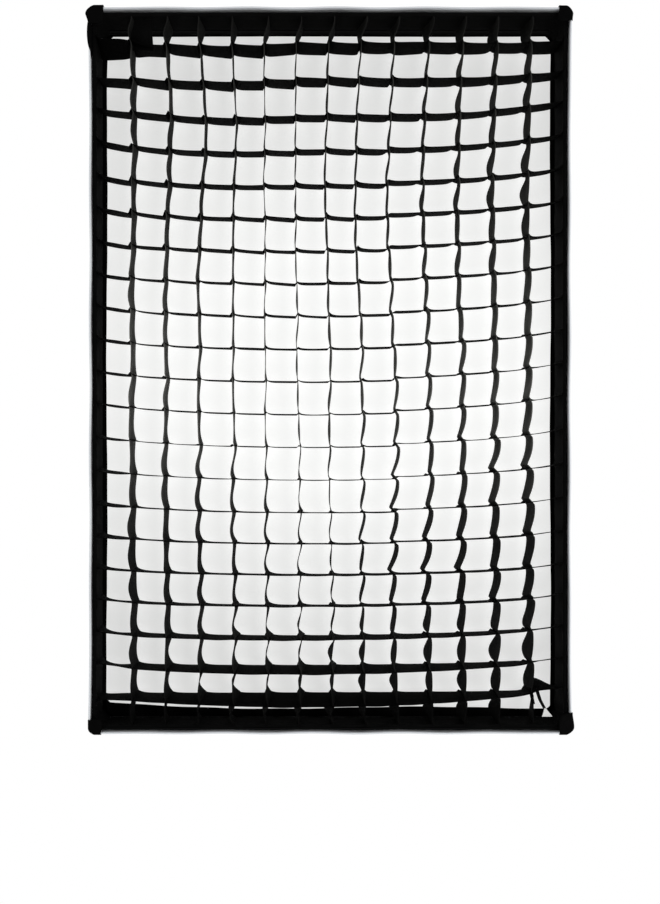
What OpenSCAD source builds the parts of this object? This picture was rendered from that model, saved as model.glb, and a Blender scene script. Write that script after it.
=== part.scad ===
// Strip softbox with a cloth grid, a speed ring and a tilting stand bracket, in millimetres.
// The front faces -Y, +Z is up, and the origin is the middle of the stand socket's mouth.

/* [Shell] */
// Outside width of the front edge
front_w = 600; // [540:5:660]
// Outside height of the front edge
front_h = 900; // [810:5:990]
// Depth of the straight lip in front of the bowed body
lip_depth = 95; // [94:1:110]
// Depth of the bowed body, from the lip to the rear edge
body_depth = 325; // [290:5:360]
// How strongly the ribs bow, where 1 is straight
bow = 2; // [1.8:0.1:2.3]
// Radius of the rear edge, measured at the ribs
rear_r = 104; // [102:1:112]
// Thickness of the shell's cloth
cloth_t = 2; // [1.5:0.1:2.5]
// How far the cloth is pulled in between two ribs
cloth_sag = 10; // [0:1:16]
// Share of the body over which the round rear turns into the rectangle
round_share = 0.4; // [0.3:0.05:0.6]
// Thickness of a corner pocket
pocket_t = 3; // [2:0.5:5]
// Length of a corner pocket along each edge
pocket_leg = 15; // [13:1:24]
// Depth of a corner pocket behind the front edge
pocket_depth = 36; // [28:1:45]
// Thickness of the edge binding
binding_t = 1; // [0.6:0.1:1.6]
// Width of the edge binding
binding_w = 12; // [8:1:16]
// Thickness of the rear skirt
skirt_t = 1.5; // [1:0.1:2]

/* [Grid] */
// Number of cells across
grid_cols = 14; // [10:1:16]
// Number of cells down
grid_rows = 22; // [16:1:24]
// Depth of the grid from front to back
grid_depth = 50; // [40:1:52]
// Distance of the grid behind the front edge
grid_recess = 8; // [6:1:12]
// Thickness of a strip
strip_t = 1; // [0.8:0.1:1.4]
// Thickness of the border band
border_t = 1.5; // [1:0.1:2]
// Clearance of a strip in a crossing slot, on each side
slot_clear = 0.15; // [0.1:0.05:0.3]

/* [Diffusers] */
// Distance of the front diffuser behind the front edge
diffuser_recess = 81; // [78:1:84]
// Thickness of the front diffuser
diffuser_t = 1; // [0.8:0.1:1.4]
// Width of the hook and loop tapes
tape_w = 24; // [18:1:25]
// Thickness of one tape
tape_t = 1.6; // [1.2:0.1:2]
// Cut at the corners that lets the ribs pass
corner_cut = 9; // [8:1:20]
// Width of the inner baffle
baffle_w = 420; // [380:5:440]
// Height of the inner baffle
baffle_h = 660; // [600:5:690]
// Thickness of the inner baffle
baffle_t = 1; // [0.8:0.1:1.4]
// Share of the body depth at which the inner baffle hangs
baffle_share = 0.55; // [0.5:0.01:0.62]
// Width of an elastic strap
strap_w = 14; // [10:1:18]
// Thickness of an elastic strap
strap_t = 1.5; // [1:0.1:2]
// Length of a strap that is sewn to the baffle
strap_lap = 30; // [20:1:40]

/* [Ribs] */
// Diameter of a rib
rib_d = 5; // [4:0.25:6]
// Room between a rib and the cloth
rib_gap = 3; // [2.8:0.1:4]
// Length of a rib in its socket
rib_seat = 20; // [16:1:22]
// Clearance of a rib in its socket, radial
rib_clear = 0.1; // [0.05:0.01:0.2]
// Radius of a rib socket
boss_r = 5.5; // [5:0.1:6]
// Wall of a baffle clip
clip_wall = 1.5; // [1.2:0.1:1.8]
// Length of a baffle clip
clip_len = 12; // [8:1:16]

/* [Speed ring] */
// Radius that the speed ring turns on
bearing_r = 66; // [63:1:68]
// Wall of the speed ring
ring_wall = 13; // [11:0.5:14]
// Length of the speed ring along the axis
ring_len = 26; // [25:0.5:30]
// Running clearance of turning and sliding parts, radial
run_clear = 0.06; // [0.03:0.01:0.1]
// Radius of a ring lock screw
lock_r = 2.5; // [2:0.1:2.8]
// Radius of a ring lock knob
lock_knob_r = 5.5; // [4.5:0.1:5.5]
// Length of a ring lock knob
lock_knob_len = 12; // [9:1:14]

/* [Bayonet] */
// Radius of the light opening
port_r = 44; // [40:1:45]
// Outer radius of the bayonet spigot
spigot_r = 50; // [49:0.5:51]
// Reach of a bayonet lug past the spigot
lug_reach = 6; // [5:0.5:7]
// Thickness of the insert's flange
flange_t = 4; // [3:0.5:5]
// Thickness of the bayonet ring
bayonet_t = 12; // [10:0.5:12]
// Outer radius of the bayonet ring
bayonet_r = 72; // [70:0.5:74]
// Thickness of the retaining ring
retainer_t = 3; // [2:0.5:4]
// Radius of the small screws in the frame and the retaining ring
small_r = 1.5; // [1.2:0.1:1.5]
// Length of a small screw past the piece that it holds
small_bite = 11; // [8:0.5:11]
// Radius of the latch pin
latch_r = 2; // [1.6:0.1:2.2]
// Angle of the latch round the axis
latch_angle = 15; // [10:1:18]
// Radius of the latch knob
latch_knob_r = 6; // [5:0.25:6.5]

/* [Flash clamp] */
// Room across the clamp frame
clamp_room = 86; // [82:1:90]
// Room between the two pads when open
clamp_gap = 66; // [60:1:72]
// Travel of the press plate
press_travel = 45; // [36:1:48]
// Thickness of the clamp frame
frame_t = 5; // [5:0.25:6]
// Width of the clamp frame
frame_w = 18; // [16:1:22]
// Thickness of the base plate
plate_t = 8; // [7:0.5:10]
// Depth of the base plate
plate_d = 54; // [50:1:56]
// Depth of the press plate
press_d = 38; // [32:1:44]
// Room between a pad and the clamp frame
pad_margin = 10; // [8:0.5:12]
// Thickness of a rubber pad
pad_t = 4; // [3:0.5:5]
// Thickness of the press plate
press_t = 5; // [5:0.25:7]
// Radius of the press rod
press_r = 4; // [3.5:0.1:4.5]
// Radius of the press knob
press_knob_r = 17; // [14:0.5:20]
// Length of the press knob
press_knob_len = 16; // [13:1:20]
// Radius of the press lock screw
press_lock_r = 2.5; // [2:0.1:3]
// Radius of the press lock knob
press_lock_knob_r = 8; // [7:0.25:9]

/* [Stand clamp] */
// Diameter of the stand's stud
stud_d = 16; // [15.8:0.1:16.2]
// Clearance of the stud in the socket, radial
stud_clear = 0.1; // [0.06:0.01:0.2]
// Depth of the socket
socket_depth = 34; // [30:1:35]
// Width of the stand clamp
clamp_w = 36; // [36:0.5:40]
// Depth of the stand clamp
clamp_d = 34; // [32:0.5:34]
// Height of the stand clamp below the fork
clamp_h = 40; // [38:1:42]
// Radius of the tilt bolt
bolt_r = 4; // [3.5:0.1:4.5]
// Radius of a fork ear
ear_r = 12; // [11:0.25:12.5]
// Thickness of a fork ear
ear_t = 6; // [5:0.25:6]
// Width of the tilting lug
lug_w = 21; // [20:0.5:22]
// Thickness of a friction washer
washer_t = 1; // [0.8:0.1:1.4]
// Radius of the stand screw
screw_r = 4; // [3.5:0.1:4.5]
// Radius of the stand knob
knob_r = 15; // [12:0.5:15]
// Length of the stand knob
knob_len = 15; // [12:1:18]
// Length of the tilt lever
lever_len = 62; // [50:1:70]
// Radius of the tilt lever's hub
lever_r = 9.5; // [8.5:0.25:10]

/* [Hidden] */
$fn = 64;

// Small gap between soft pieces that lie on each other
touch = 0.1;
// Heights of the bracket, from the socket's mouth
pivot_z = clamp_h + 22;
plate_z = pivot_z + ear_r + 2;
seat_z = plate_z + plate_t + pad_t;
axis_z = seat_z + clamp_gap / 2 - 1;
press_z = seat_z + clamp_gap;
bar_z = press_z + pad_t + press_t + 14;
nut_h = 12;
press_lock_z = bar_z + frame_t + nut_h / 2;
nut_top = bar_z + frame_t + nut_h;
knob_z = max(nut_top, press_lock_z + press_lock_knob_r) + press_travel + 1;
// Places along the axis, from the tilt axis forward to the front edge
bayonet_back = -34;
bayonet_front = bayonet_back - bayonet_t;
ring_back = bayonet_front - flange_t;
ring_front = ring_back - ring_len;
back_y = ring_back - 16;
lip_y = back_y - body_depth;
front_y = lip_y - lip_depth;
ring_in = bearing_r + run_clear;
ring_out = ring_in + ring_wall;
flange_r = bearing_r + 6;
sleeve_r = bearing_r - 10;
lug_back = bayonet_back + 4;
latch_c = (spigot_r + bayonet_r) / 2;
small_c = bearing_r - 5;
small_head = small_r * 4 / 3;
pad_w = clamp_room - 2 * pad_margin;
lock_y = ring_back - 3.8;
// The corner line of the shell: its radius, slope and points
rho_front = norm([front_w / 2, front_h / 2]);
cos_c = front_w / 2 / rho_front;
sin_c = front_h / 2 / rho_front;
function rho(s) = rear_r + (rho_front - rear_r) * (1 - pow(1 - s, bow));
function slope(s) = (rho_front - rear_r) * bow * pow(1 - s, bow - 1) / body_depth;
function corner(s, off) = let (n = sqrt(1 + slope(s) * slope(s)))
    [rho(s) * cos_c - off / n, back_y - s * body_depth - off * slope(s) / n, rho(s) * sin_c - off / n];
function front_corner(off) = [front_w / 2 - off, front_y, front_h / 2 - off];
function smooth(t) = t * t * (3 - 2 * t);
// Stations along the body, closer together near the ring
body_steps = 16;
stations = [for (i = [0:body_steps]) pow(i / body_steps, 1.6)];
across_steps = 14;
// The ribs' line, and where it enters its socket
rib_r = rib_d / 2;
rib_off = cloth_t + rib_gap + rib_r;
rib_0 = corner(0, rib_off);
rib_dir = let (d = corner(0.002, rib_off) - rib_0) d / norm(d);
rib_side = [-sin_c, 0, cos_c];
rib_end = front_corner(rib_off) + [0, 0.3, 0];
rib_line = concat([rib_0 - rib_seat * rib_dir], [for (s = stations) corner(s, rib_off)], [rib_end]);
rib_rise = norm([rib_dir[0], rib_dir[2]]);
rib_lean = -rib_dir[1] / rib_rise;
// The rear edge and the skirt that closes it
rear_in = let (c = corner(0, cloth_t)) [norm([c[0], c[2]]), c[1]];
rear_half = atan2(sin_c, cos_c) / across_steps;
skirt_out = rear_in[0] * cos(rear_half) - 0.3;
skirt_in = ring_out + 0.3;
function skirt_y(r) = rib_0[1] + (norm([rib_0[0], rib_0[2]]) - r) * rib_lean + boss_r / rib_rise + 0.8;
// Half sizes of the layers inside the lip
lip_x = front_w / 2 - cloth_t;
lip_z = front_h / 2 - cloth_t;
loop_in = touch;
hook_in = loop_in + tape_t + touch;
edge_in = hook_in + tape_t + touch;
grid_x = lip_x - edge_in;
grid_z = lip_z - edge_in;
cell_w = 2 * (grid_x - border_t) / grid_cols;
cell_h = 2 * (grid_z - border_t) / grid_rows;
grid_front = front_y + grid_recess;
grid_back = grid_front + grid_depth;
diffuser_y = front_y + diffuser_recess;
// The inner baffle, its clips and its straps
clip_at = corner(baffle_share, rib_off);
clip_dir = let (d = corner(baffle_share + 0.01, rib_off) - corner(baffle_share - 0.01, rib_off)) d / norm(d);
clip_bore = rib_r + 0.4;
clip_out = clip_bore + clip_wall;
baffle_y = clip_at[1];
strap_run = [clip_at[0] - baffle_w / 2, clip_at[2] - baffle_h / 2];
strap_angle = atan2(strap_run[1], strap_run[0]);
strap_len = norm(strap_run) - clip_out / abs(clip_dir[1]) - 0.3;

// Carries a shape from the axis to its height
module on_axis() {
    translate([0, 0, axis_z]) children();
}

// A cylinder along -Y that starts at y
module rod_y(r, y, len) {
    translate([0, y, 0]) rotate([90, 0, 0]) cylinder(r = r, h = len);
}

// A cylinder along +X that starts at x
module rod_x(r, x, len) {
    translate([x, 0, 0]) rotate([0, 90, 0]) cylinder(r = r, h = len);
}

// A cylinder along the direction d that starts at p
module rod_along(r, p, d, len) {
    translate(p) rotate([0, acos(d[2]), atan2(d[1], d[0])]) cylinder(r = r, h = len);
}

// A flat ring across the axis
module ring_y(r_out, r_in, y, len) {
    difference() {
        rod_y(r_out, y, len);
        rod_y(r_in, y + 1, len + 2);
    }
}

// A flat shape drawn in x and z, run forward from y
module run_y(y, len) {
    translate([0, y, 0]) rotate([90, 0, 0]) linear_extrude(height = len) children();
}

// Places a shape of the upper right corner at the corner with the given sides
module at_corner(right, up) {
    on_axis() {
        if (right && up) children();
        if (!right && up) mirror([1, 0, 0]) children();
        if (right && !up) mirror([0, 0, 1]) children();
        if (!right && !up) mirror([1, 0, 0]) mirror([0, 0, 1]) children();
    }
}

// A rectangle with round corners
module round_rect(w, d, r) {
    square([w - 2 * r, d], center = true);
    square([w, d - 2 * r], center = true);
    for (x = [-1, 1], y = [-1, 1]) translate([x * (w / 2 - r), y * (d / 2 - r)]) circle(r);
}

// A rectangle with its corners cut
module cut_rect(x, z, c) {
    polygon([[x - c, -z], [x, c - z], [x, z - c], [x - c, z],
        [c - x, z], [-x, z - c], [-x, c - z], [c - x, -z]]);
}

// A knob with grip flutes, along +Z from zero
module fluted(r, len, flutes) {
    difference() {
        union() {
            cylinder(r = r, h = len - 1.5);
            translate([0, 0, len - 1.5]) cylinder(r1 = r, r2 = r - 1.5, h = 1.5);
        }
        for (i = [0:flutes - 1]) rotate([0, 0, 360 * i / flutes])
            translate([r + r * 0.16, 0, -1]) cylinder(r = r * 0.26, h = len + 2);
    }
}

// Four tape strips on the inside of the lip, a layer deep
module tape_frame(depth_in, y) {
    on_axis() {
        x = lip_x - depth_in;
        z = lip_z - depth_in;
        long = lip_z - pocket_leg - 4;
        short = lip_x - pocket_leg - 4;
        for (side = [-1, 1]) {
            translate([side * (x - tape_t / 2) - tape_t / 2, y, -long]) cube([tape_t, tape_w, 2 * long]);
            translate([-short, y, side * (z - tape_t / 2) - tape_t / 2]) cube([2 * short, tape_w, tape_t]);
        }
    }
}

// One cloth panel between two ribs: side 0 is right, 1 top, 2 left, 3 bottom
function turned(k, out, along) =
    [[out, along], [-along, out], [-out, -along], [along, -out]][k];
function panel_point(k, c, s, v, off) = let (
    c0 = corner(0, off),
    even = k % 2 == 0,
    half = even ? atan2(c0[2], c0[0]) : atan2(c0[0], c0[2]),
    t = 2 * v - 1,
    q = sin(half * t) / sin(half),
    fade = 1 - smooth(min(s / round_share, 1)),
    round_out = fade * norm([c0[0], c0[2]]) * (cos(half * t) - cos(half)),
    out = (even ? c[0] : c[2]) + round_out - cloth_sag * (1 - q * q) * sin(180 * s),
    p = turned(k, out, (even ? c[2] : c[0]) * q))
    [p[0], c[1], p[1]];
function panel_row(k, i, off) = let (
    s = i > body_steps ? 1 : stations[i],
    c = i > body_steps ? front_corner(off) : corner(s, off))
    [for (j = [0:across_steps]) panel_point(k, c, s, j / across_steps, off)];

module panel(k) {
    rows = body_steps + 2;
    cols = across_steps + 1;
    outer = [for (i = [0:rows - 1]) each panel_row(k, i, 0)];
    inner = [for (i = [0:rows - 1]) each panel_row(k, i, cloth_t)];
    n = rows * cols;
    skin = [for (i = [0:rows - 2], j = [0:cols - 2]) let (p = i * cols + j, q = p + cols)
        each [[p, q, q + 1], [p, q + 1, p + 1], [n + p, n + q + 1, n + q], [n + p, n + p + 1, n + q + 1]]];
    ends = [for (j = [0:cols - 2]) let (p = j, q = (rows - 1) * cols + j)
        each [[p, p + 1, n + p + 1], [p, n + p + 1, n + p], [q + 1, q, n + q], [q + 1, n + q, n + q + 1]]];
    seams = [for (i = [0:rows - 2]) let (p = i * cols, q = p + cols, r = p + cols - 1, t = r + cols)
        each [[q, p, n + q], [p, n + p, n + q], [r, t, n + t], [r, n + t, n + r]]];
    on_axis() polyhedron(points = concat(outer, inner), faces = concat(skin, ends, seams));
}

// One rib of the upper right corner, round along its bowed line
module rib() {
    m = len(rib_line);
    sides = 12;
    points = [for (i = [0:m - 1]) let (
        d = rib_line[min(i + 1, m - 1)] - rib_line[max(i - 1, 0)],
        t = i <= 1 ? rib_dir : i == m - 1 ? [0, -1, 0] : d / norm(d),
        u0 = cross(rib_side, t),
        u = u0 / norm(u0),
        w = cross(t, u))
        for (j = [0:sides - 1]) rib_line[i] + rib_r * (cos(360 * j / sides) * u + sin(360 * j / sides) * w)];
    walls = [for (i = [0:m - 2], j = [0:sides - 1]) let (
        a = i * sides + j,
        b = i * sides + (j + 1) % sides)
        each [[a, a + sides, b + sides], [a, b + sides, b]]];
    caps = [[for (j = [0:sides - 1]) j], [for (j = [sides - 1:-1:0]) (m - 1) * sides + j]];
    polyhedron(points = points, faces = concat(walls, caps));
}

// A black pocket that wraps the upper right corner and takes the rib's tip
module corner_pocket() {
    x = front_w / 2;
    z = front_h / 2;
    r = 7;
    arc = [for (i = [0:6]) [x + pocket_t - r + r * sin(15 * i), z + pocket_t - r + r * cos(15 * i)]];
    run_y(front_y + pocket_depth, pocket_depth + pocket_t)
        polygon(concat([[x - pocket_leg, z], [x - pocket_leg, z + pocket_t]], arc,
            [[x + pocket_t, z - pocket_leg], [x, z - pocket_leg], [x, z]]));
    run_y(front_y, pocket_t)
        polygon(concat([[x - pocket_leg, z - cloth_t], [x - pocket_leg, z + pocket_t]], arc,
            [[x + pocket_t, z - pocket_leg], [x - cloth_t, z - pocket_leg]]));
}

// A comb outline: length along the first axis, slots cut from the far edge
function comb(half, depth, cell, cells, slot) = concat(
    [[-half, 0], [half, 0], [half, depth]],
    [for (i = [cells - 1:-1:1], p = [[1, 0], [1, 1], [-1, 1], [-1, 0]])
        [cell * (i - cells / 2) + p[0] * slot / 2, depth - p[1] * (depth / 2 + slot_clear)]],
    [[-half, depth]]);

module stand_clamp_body() {
    color([0.09, 0.09, 0.1]) difference() {
        union() {
            linear_extrude(height = clamp_h) round_rect(clamp_w, clamp_d, 8);
            translate([0, 0, clamp_h / 2]) rod_y(screw_r + 5, clamp_d / 2 + 7, 12);
            for (side = [-1, 1]) translate([side * (lug_w / 2 + washer_t + ear_t / 2), 0, 0]) {
                translate([-ear_t / 2, -ear_r, clamp_h - 4]) cube([ear_t, 2 * ear_r, pivot_z - clamp_h + 4]);
                translate([0, 0, pivot_z]) rod_x(ear_r, -ear_t / 2, ear_t);
            }
        }
        translate([0, 0, -1]) cylinder(r = stud_d / 2 + stud_clear, h = socket_depth + 1);
        translate([0, 0, clamp_h / 2]) rod_y(screw_r + run_clear, clamp_d / 2 + 8, clamp_d / 2 + 8);
        translate([0, 0, pivot_z]) rod_x(bolt_r + run_clear, -clamp_w, 2 * clamp_w);
    }
}

module tilt_bolt() {
    out = lug_w / 2 + washer_t + ear_t;
    color([0.7, 0.7, 0.72]) translate([0, 0, pivot_z]) {
        rod_x(bolt_r, -out - 2, 2 * out + 2 + 12);
        rotate([0, 90, 0]) translate([0, 0, -out - 5.6]) cylinder(r = bolt_r * 1.85, h = 5.5, $fn = 6);
    }
}

module friction_washers() {
    color([0.85, 0.85, 0.83]) translate([0, 0, pivot_z]) for (side = [-1, 1]) difference() {
        rod_x(ear_r - 1, side * (lug_w / 2 + washer_t / 2) - washer_t / 2, washer_t);
        rod_x(bolt_r + run_clear, -clamp_w, 2 * clamp_w);
    }
}

module stand_screw() {
    color([0.7, 0.7, 0.72]) translate([0, 0, clamp_h / 2])
        rod_y(screw_r, clamp_d / 2 + 20, clamp_d / 2 + 20 - stud_d / 2 - stud_clear - 0.3);
}

module stand_knob() {
    color([0.05, 0.05, 0.05]) translate([0, clamp_d / 2 + 9, clamp_h / 2]) difference() {
        rotate([-90, 0, 0]) fluted(knob_r, knob_len, 8);
        rod_y(screw_r + 0.02, 11.2, 12);
    }
}

module tilt_lever() {
    x = lug_w / 2 + washer_t + ear_t + 0.3;
    color([0.05, 0.05, 0.05]) translate([0, 0, pivot_z]) difference() {
        union() {
            rod_x(lever_r, x, 15);
            translate([x + 3, 0, 0]) rotate([0, 90, 0]) linear_extrude(height = 9) {
                polygon([[0, -lever_r], [lever_len, -5], [lever_len, 5], [0, lever_r]]);
                translate([lever_len, 0]) circle(5);
            }
        }
        translate([x, 0, 0]) rotate([0, 90, 0]) translate([0, 0, -1]) cylinder(r = bolt_r * 1.75, h = 13);
    }
}

module lever_nut() {
    x = lug_w / 2 + washer_t + ear_t + 0.3;
    color([0.78, 0.62, 0.3]) translate([0, 0, pivot_z]) difference() {
        rod_x(bolt_r * 1.75 - 0.02, x, 11.9);
        rod_x(bolt_r + run_clear, x - 1, 14);
    }
}

module tilt_arm() {
    w = clamp_room + 2 * frame_t;
    color([0.09, 0.09, 0.1]) difference() {
        union() {
            translate([0, 0, pivot_z]) rod_x(ear_r, -lug_w / 2, lug_w);
            translate([-lug_w / 2, -ear_r, pivot_z]) cube([lug_w, 2 * ear_r, plate_z - pivot_z + 1]);
            translate([-lug_w / 2, bayonet_back, pivot_z - 8]) cube([lug_w, -bayonet_back, 13]);
            translate([0, -1, plate_z]) linear_extrude(height = plate_t) round_rect(w, plate_d, 6);
        }
        translate([0, 0, pivot_z]) rod_x(bolt_r + run_clear, -clamp_w, 2 * clamp_w);
        for (x = [-1, 1]) translate([x * 6, 0, pivot_z - 1.5]) rod_y(2 + run_clear, bayonet_back + 14, 15);
        for (x = [-1, 1], y = [-1, 1]) translate([x * (w - frame_t) / 2, y * frame_w / 4, plate_z - 1])
            cylinder(r = small_r + run_clear, h = plate_t + 2);
    }
}

module bayonet_ring() {
    color([0.09, 0.09, 0.1]) difference() {
        on_axis() difference() {
            ring_y(bayonet_r, spigot_r + 0.4, bayonet_back, bayonet_t);
            for (i = [0:2]) rotate([0, 120 * i + 60, 0])
                translate([0, bayonet_back + 1, -7.5]) mirror([0, 1, 0])
                    cube([spigot_r + lug_reach + 1, bayonet_t + 2, 15]);
            rotate([0, -latch_angle, 0]) translate([latch_c, 0, 0])
                rod_y(latch_r + run_clear, bayonet_back + 1, bayonet_t + 2);
        }
        for (x = [-1, 1]) translate([x * 6, 0, pivot_z - 1.5]) {
            rod_y(2 + run_clear, bayonet_back + 1, bayonet_t + 2);
            rod_y(4, bayonet_front + 4, 5);
        }
    }
}

module bracket_screws() {
    color([0.3, 0.3, 0.32]) for (x = [-1, 1]) translate([x * 6, 0, pivot_z - 1.5]) difference() {
        union() {
            rod_y(3.8, bayonet_front + 3.9, 3.8);
            rod_y(2, bayonet_back + 13, 13 + bayonet_t - 3.5);
        }
        translate([0, bayonet_front + 2.1, 0]) rotate([90, 0, 0]) cylinder(r = 1.9, h = 4, $fn = 6);
    }
}

module clamp_frame() {
    w = clamp_room + 2 * frame_t;
    z = plate_z + plate_t;
    color([0.16, 0.16, 0.17]) difference() {
        union() {
            run_y(frame_w / 2, frame_w)
                polygon([[-w / 2, z], [-w / 2, bar_z + frame_t], [w / 2, bar_z + frame_t], [w / 2, z],
                    [clamp_room / 2, z], [clamp_room / 2, bar_z], [-clamp_room / 2, bar_z],
                    [-clamp_room / 2, z]]);
            translate([0, 0, bar_z + frame_t - 1]) cylinder(r = press_r + 5, h = nut_h + 1);
        }
        translate([0, 0, bar_z - 1]) cylinder(r = press_r + run_clear, h = frame_t + nut_h + 2);
        translate([0, 0, press_lock_z]) rod_y(press_lock_r + run_clear, press_r + 6, press_r + 6);
        for (x = [-1, 1], y = [-1, 1]) translate([x * (w - frame_t) / 2, y * frame_w / 4, z - 1])
            cylinder(r = small_r + run_clear, h = small_bite + 2);
    }
}

module frame_screws() {
    w = clamp_room + 2 * frame_t;
    color([0.3, 0.3, 0.32]) for (x = [-1, 1], y = [-1, 1])
        translate([x * (w - frame_t) / 2, y * frame_w / 4, plate_z]) {
            cylinder(r = small_r, h = plate_t + small_bite);
            translate([0, 0, -small_head]) cylinder(r = small_r * 1.6, h = small_head);
        }
}

module lower_pad() {
    color([0.04, 0.04, 0.04]) translate([0, -1, plate_z + plate_t])
        linear_extrude(height = pad_t) round_rect(pad_w, plate_d - 8, 5);
}

module press_plate() {
    color([0.16, 0.16, 0.17]) translate([0, 0, press_z + pad_t]) difference() {
        linear_extrude(height = press_t) round_rect(pad_w, press_d, 5);
        translate([0, 0, press_t - 3]) cylinder(r = press_r + run_clear, h = 4);
    }
}

module press_pad() {
    color([0.04, 0.04, 0.04]) translate([0, 0, press_z])
        linear_extrude(height = pad_t) round_rect(pad_w, press_d, 5);
}

module press_rod() {
    z = press_z + pad_t + press_t - 2.9;
    color([0.7, 0.7, 0.72]) translate([0, 0, z]) cylinder(r = press_r, h = knob_z + press_knob_len - 4 - z);
}

module press_knob() {
    color([0.05, 0.05, 0.05]) translate([0, 0, knob_z]) difference() {
        fluted(press_knob_r, press_knob_len, 10);
        translate([0, 0, -1]) cylinder(r = press_r + 0.02, h = press_knob_len - 2.9);
    }
}

module press_lock_screw() {
    color([0.7, 0.7, 0.72]) translate([0, 0, press_lock_z]) rod_y(press_lock_r, press_r + 14, 13.6);
}

module press_lock_knob() {
    color([0.05, 0.05, 0.05]) translate([0, press_r + 6, press_lock_z]) difference() {
        rotate([-90, 0, 0]) fluted(press_lock_knob_r, 11, 9);
        rod_y(press_lock_r + 0.02, 8.2, 10);
    }
}

module latch_housing() {
    color([0.16, 0.16, 0.17]) on_axis() rotate([0, -latch_angle, 0]) translate([latch_c, 0, 0])
        ring_y(latch_knob_r, latch_r + run_clear, bayonet_back + 9, 9);
}

module latch_pin() {
    color([0.7, 0.7, 0.72]) on_axis() rotate([0, -latch_angle, 0]) translate([latch_c, 0, 0])
        rod_y(latch_r, bayonet_back + 18, bayonet_t + 18 + 2.6);
}

module latch_knob() {
    color([0.55, 0.06, 0.05]) on_axis() rotate([0, -latch_angle, 0])
        translate([latch_c, bayonet_back + 9.5, 0]) difference() {
            rotate([-90, 0, 0]) fluted(latch_knob_r, 10, 12);
            rod_y(latch_r + 0.02, 8.6, 10);
        }
}

module insert_ring() {
    color([0.62, 0.63, 0.65]) on_axis() difference() {
        union() {
            rod_y(flange_r, bayonet_front, flange_t);
            rod_y(spigot_r, lug_back, lug_back - bayonet_front + 1);
            for (i = [0:2]) rotate([0, 120 * i, 0])
                translate([port_r + 2, bayonet_back + 0.2, -6])
                    cube([spigot_r - port_r + lug_reach - 2, 3.3, 12]);
        }
        rod_y(port_r, lug_back + 1, lug_back + 2 - ring_back);
        rotate([0, -latch_angle, 0]) translate([latch_c, 0, 0]) rod_y(latch_r + 0.3, bayonet_front + 1, 4.3);
    }
}

module bearing_sleeve() {
    color([0.62, 0.63, 0.65]) on_axis() difference() {
        ring_y(bearing_r, sleeve_r, ring_back, ring_len);
        for (i = [0:3]) rotate([0, 90 * i + 45, 0]) translate([small_c, 0, 0])
            rod_y(small_r + run_clear, ring_front + small_bite + 1, small_bite + 2);
    }
}

module retaining_ring() {
    color([0.62, 0.63, 0.65]) on_axis() difference() {
        ring_y(flange_r, sleeve_r, ring_front, retainer_t);
        for (i = [0:3]) rotate([0, 90 * i + 45, 0]) translate([small_c, 0, 0])
            rod_y(small_r + run_clear, ring_front + 1, retainer_t + 2);
    }
}

module retaining_screws() {
    color([0.3, 0.3, 0.32]) on_axis() for (i = [0:3]) rotate([0, 90 * i + 45, 0])
        translate([small_c, 0, 0]) {
            rod_y(small_r, ring_front + small_bite, retainer_t + small_bite);
            rod_y(small_r * 1.85, ring_front - retainer_t, small_head);
        }
}

module speed_ring() {
    seat = rib_0 - (rib_seat + 2) * rib_dir;
    color([0.13, 0.13, 0.14]) on_axis() difference() {
        union() {
            ring_y(ring_out, ring_in + 2, ring_back - 0.05, ring_len - 0.1);
            for (x = [0, 1], z = [0, 1]) mirror([x, 0, 0]) mirror([0, 0, z])
                rod_along(boss_r, seat, rib_dir, rib_seat - 2);
        }
        rod_y(ring_in, ring_back + 1, ring_len + 2);
        for (x = [0, 1], z = [0, 1]) mirror([x, 0, 0]) mirror([0, 0, z])
            rod_along(rib_r + rib_clear, rib_0 - (rib_seat + 0.2) * rib_dir, rib_dir, rib_seat + 5);
        translate([0, lock_y, 0]) rod_x(lock_r + run_clear, -ring_out - 9, 2 * ring_out + 18);
    }
}

module lock_screw(side) {
    color([0.7, 0.7, 0.72]) on_axis() translate([0, lock_y, 0]) rotate([0, side > 0 ? 0 : 180, 0])
        rod_x(lock_r, bearing_r + 0.4, ring_out - bearing_r + 6 + lock_knob_len - 3);
}

module lock_knob(side) {
    color([0.05, 0.05, 0.05]) on_axis() translate([0, lock_y, 0]) rotate([0, side > 0 ? 0 : 180, 0])
        difference() {
            translate([ring_out + 6, 0, 0]) rotate([0, 90, 0]) fluted(lock_knob_r, lock_knob_len, 12);
            rod_x(lock_r + 0.02, ring_out, 6 + lock_knob_len - 2.5);
        }
}

module ring_lock_left() {
    lock_screw(-1);
}

module ring_lock_right() {
    lock_screw(1);
}

module lock_knob_left() {
    lock_knob(-1);
}

module lock_knob_right() {
    lock_knob(1);
}

module rib_top_left() {
    color([0.75, 0.75, 0.77]) at_corner(false, true) rib();
}

module rib_top_right() {
    color([0.75, 0.75, 0.77]) at_corner(true, true) rib();
}

module rib_bottom_left() {
    color([0.75, 0.75, 0.77]) at_corner(false, false) rib();
}

module rib_bottom_right() {
    color([0.75, 0.75, 0.77]) at_corner(true, false) rib();
}

module shell_right() {
    color([0.03, 0.03, 0.03]) panel(0);
}

module shell_top() {
    color([0.03, 0.03, 0.03]) panel(1);
}

module shell_left() {
    color([0.03, 0.03, 0.03]) panel(2);
}

module shell_bottom() {
    color([0.03, 0.03, 0.03]) panel(3);
}

module rear_skirt() {
    color([0.03, 0.03, 0.03]) on_axis() rotate([90, 0, 0]) rotate_extrude()
        polygon([[skirt_in, -skirt_y(skirt_in)], [skirt_out, -skirt_y(skirt_out)],
            [skirt_out, -skirt_y(skirt_out) - skirt_t], [skirt_in, -skirt_y(skirt_in) - skirt_t]]);
}

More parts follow.
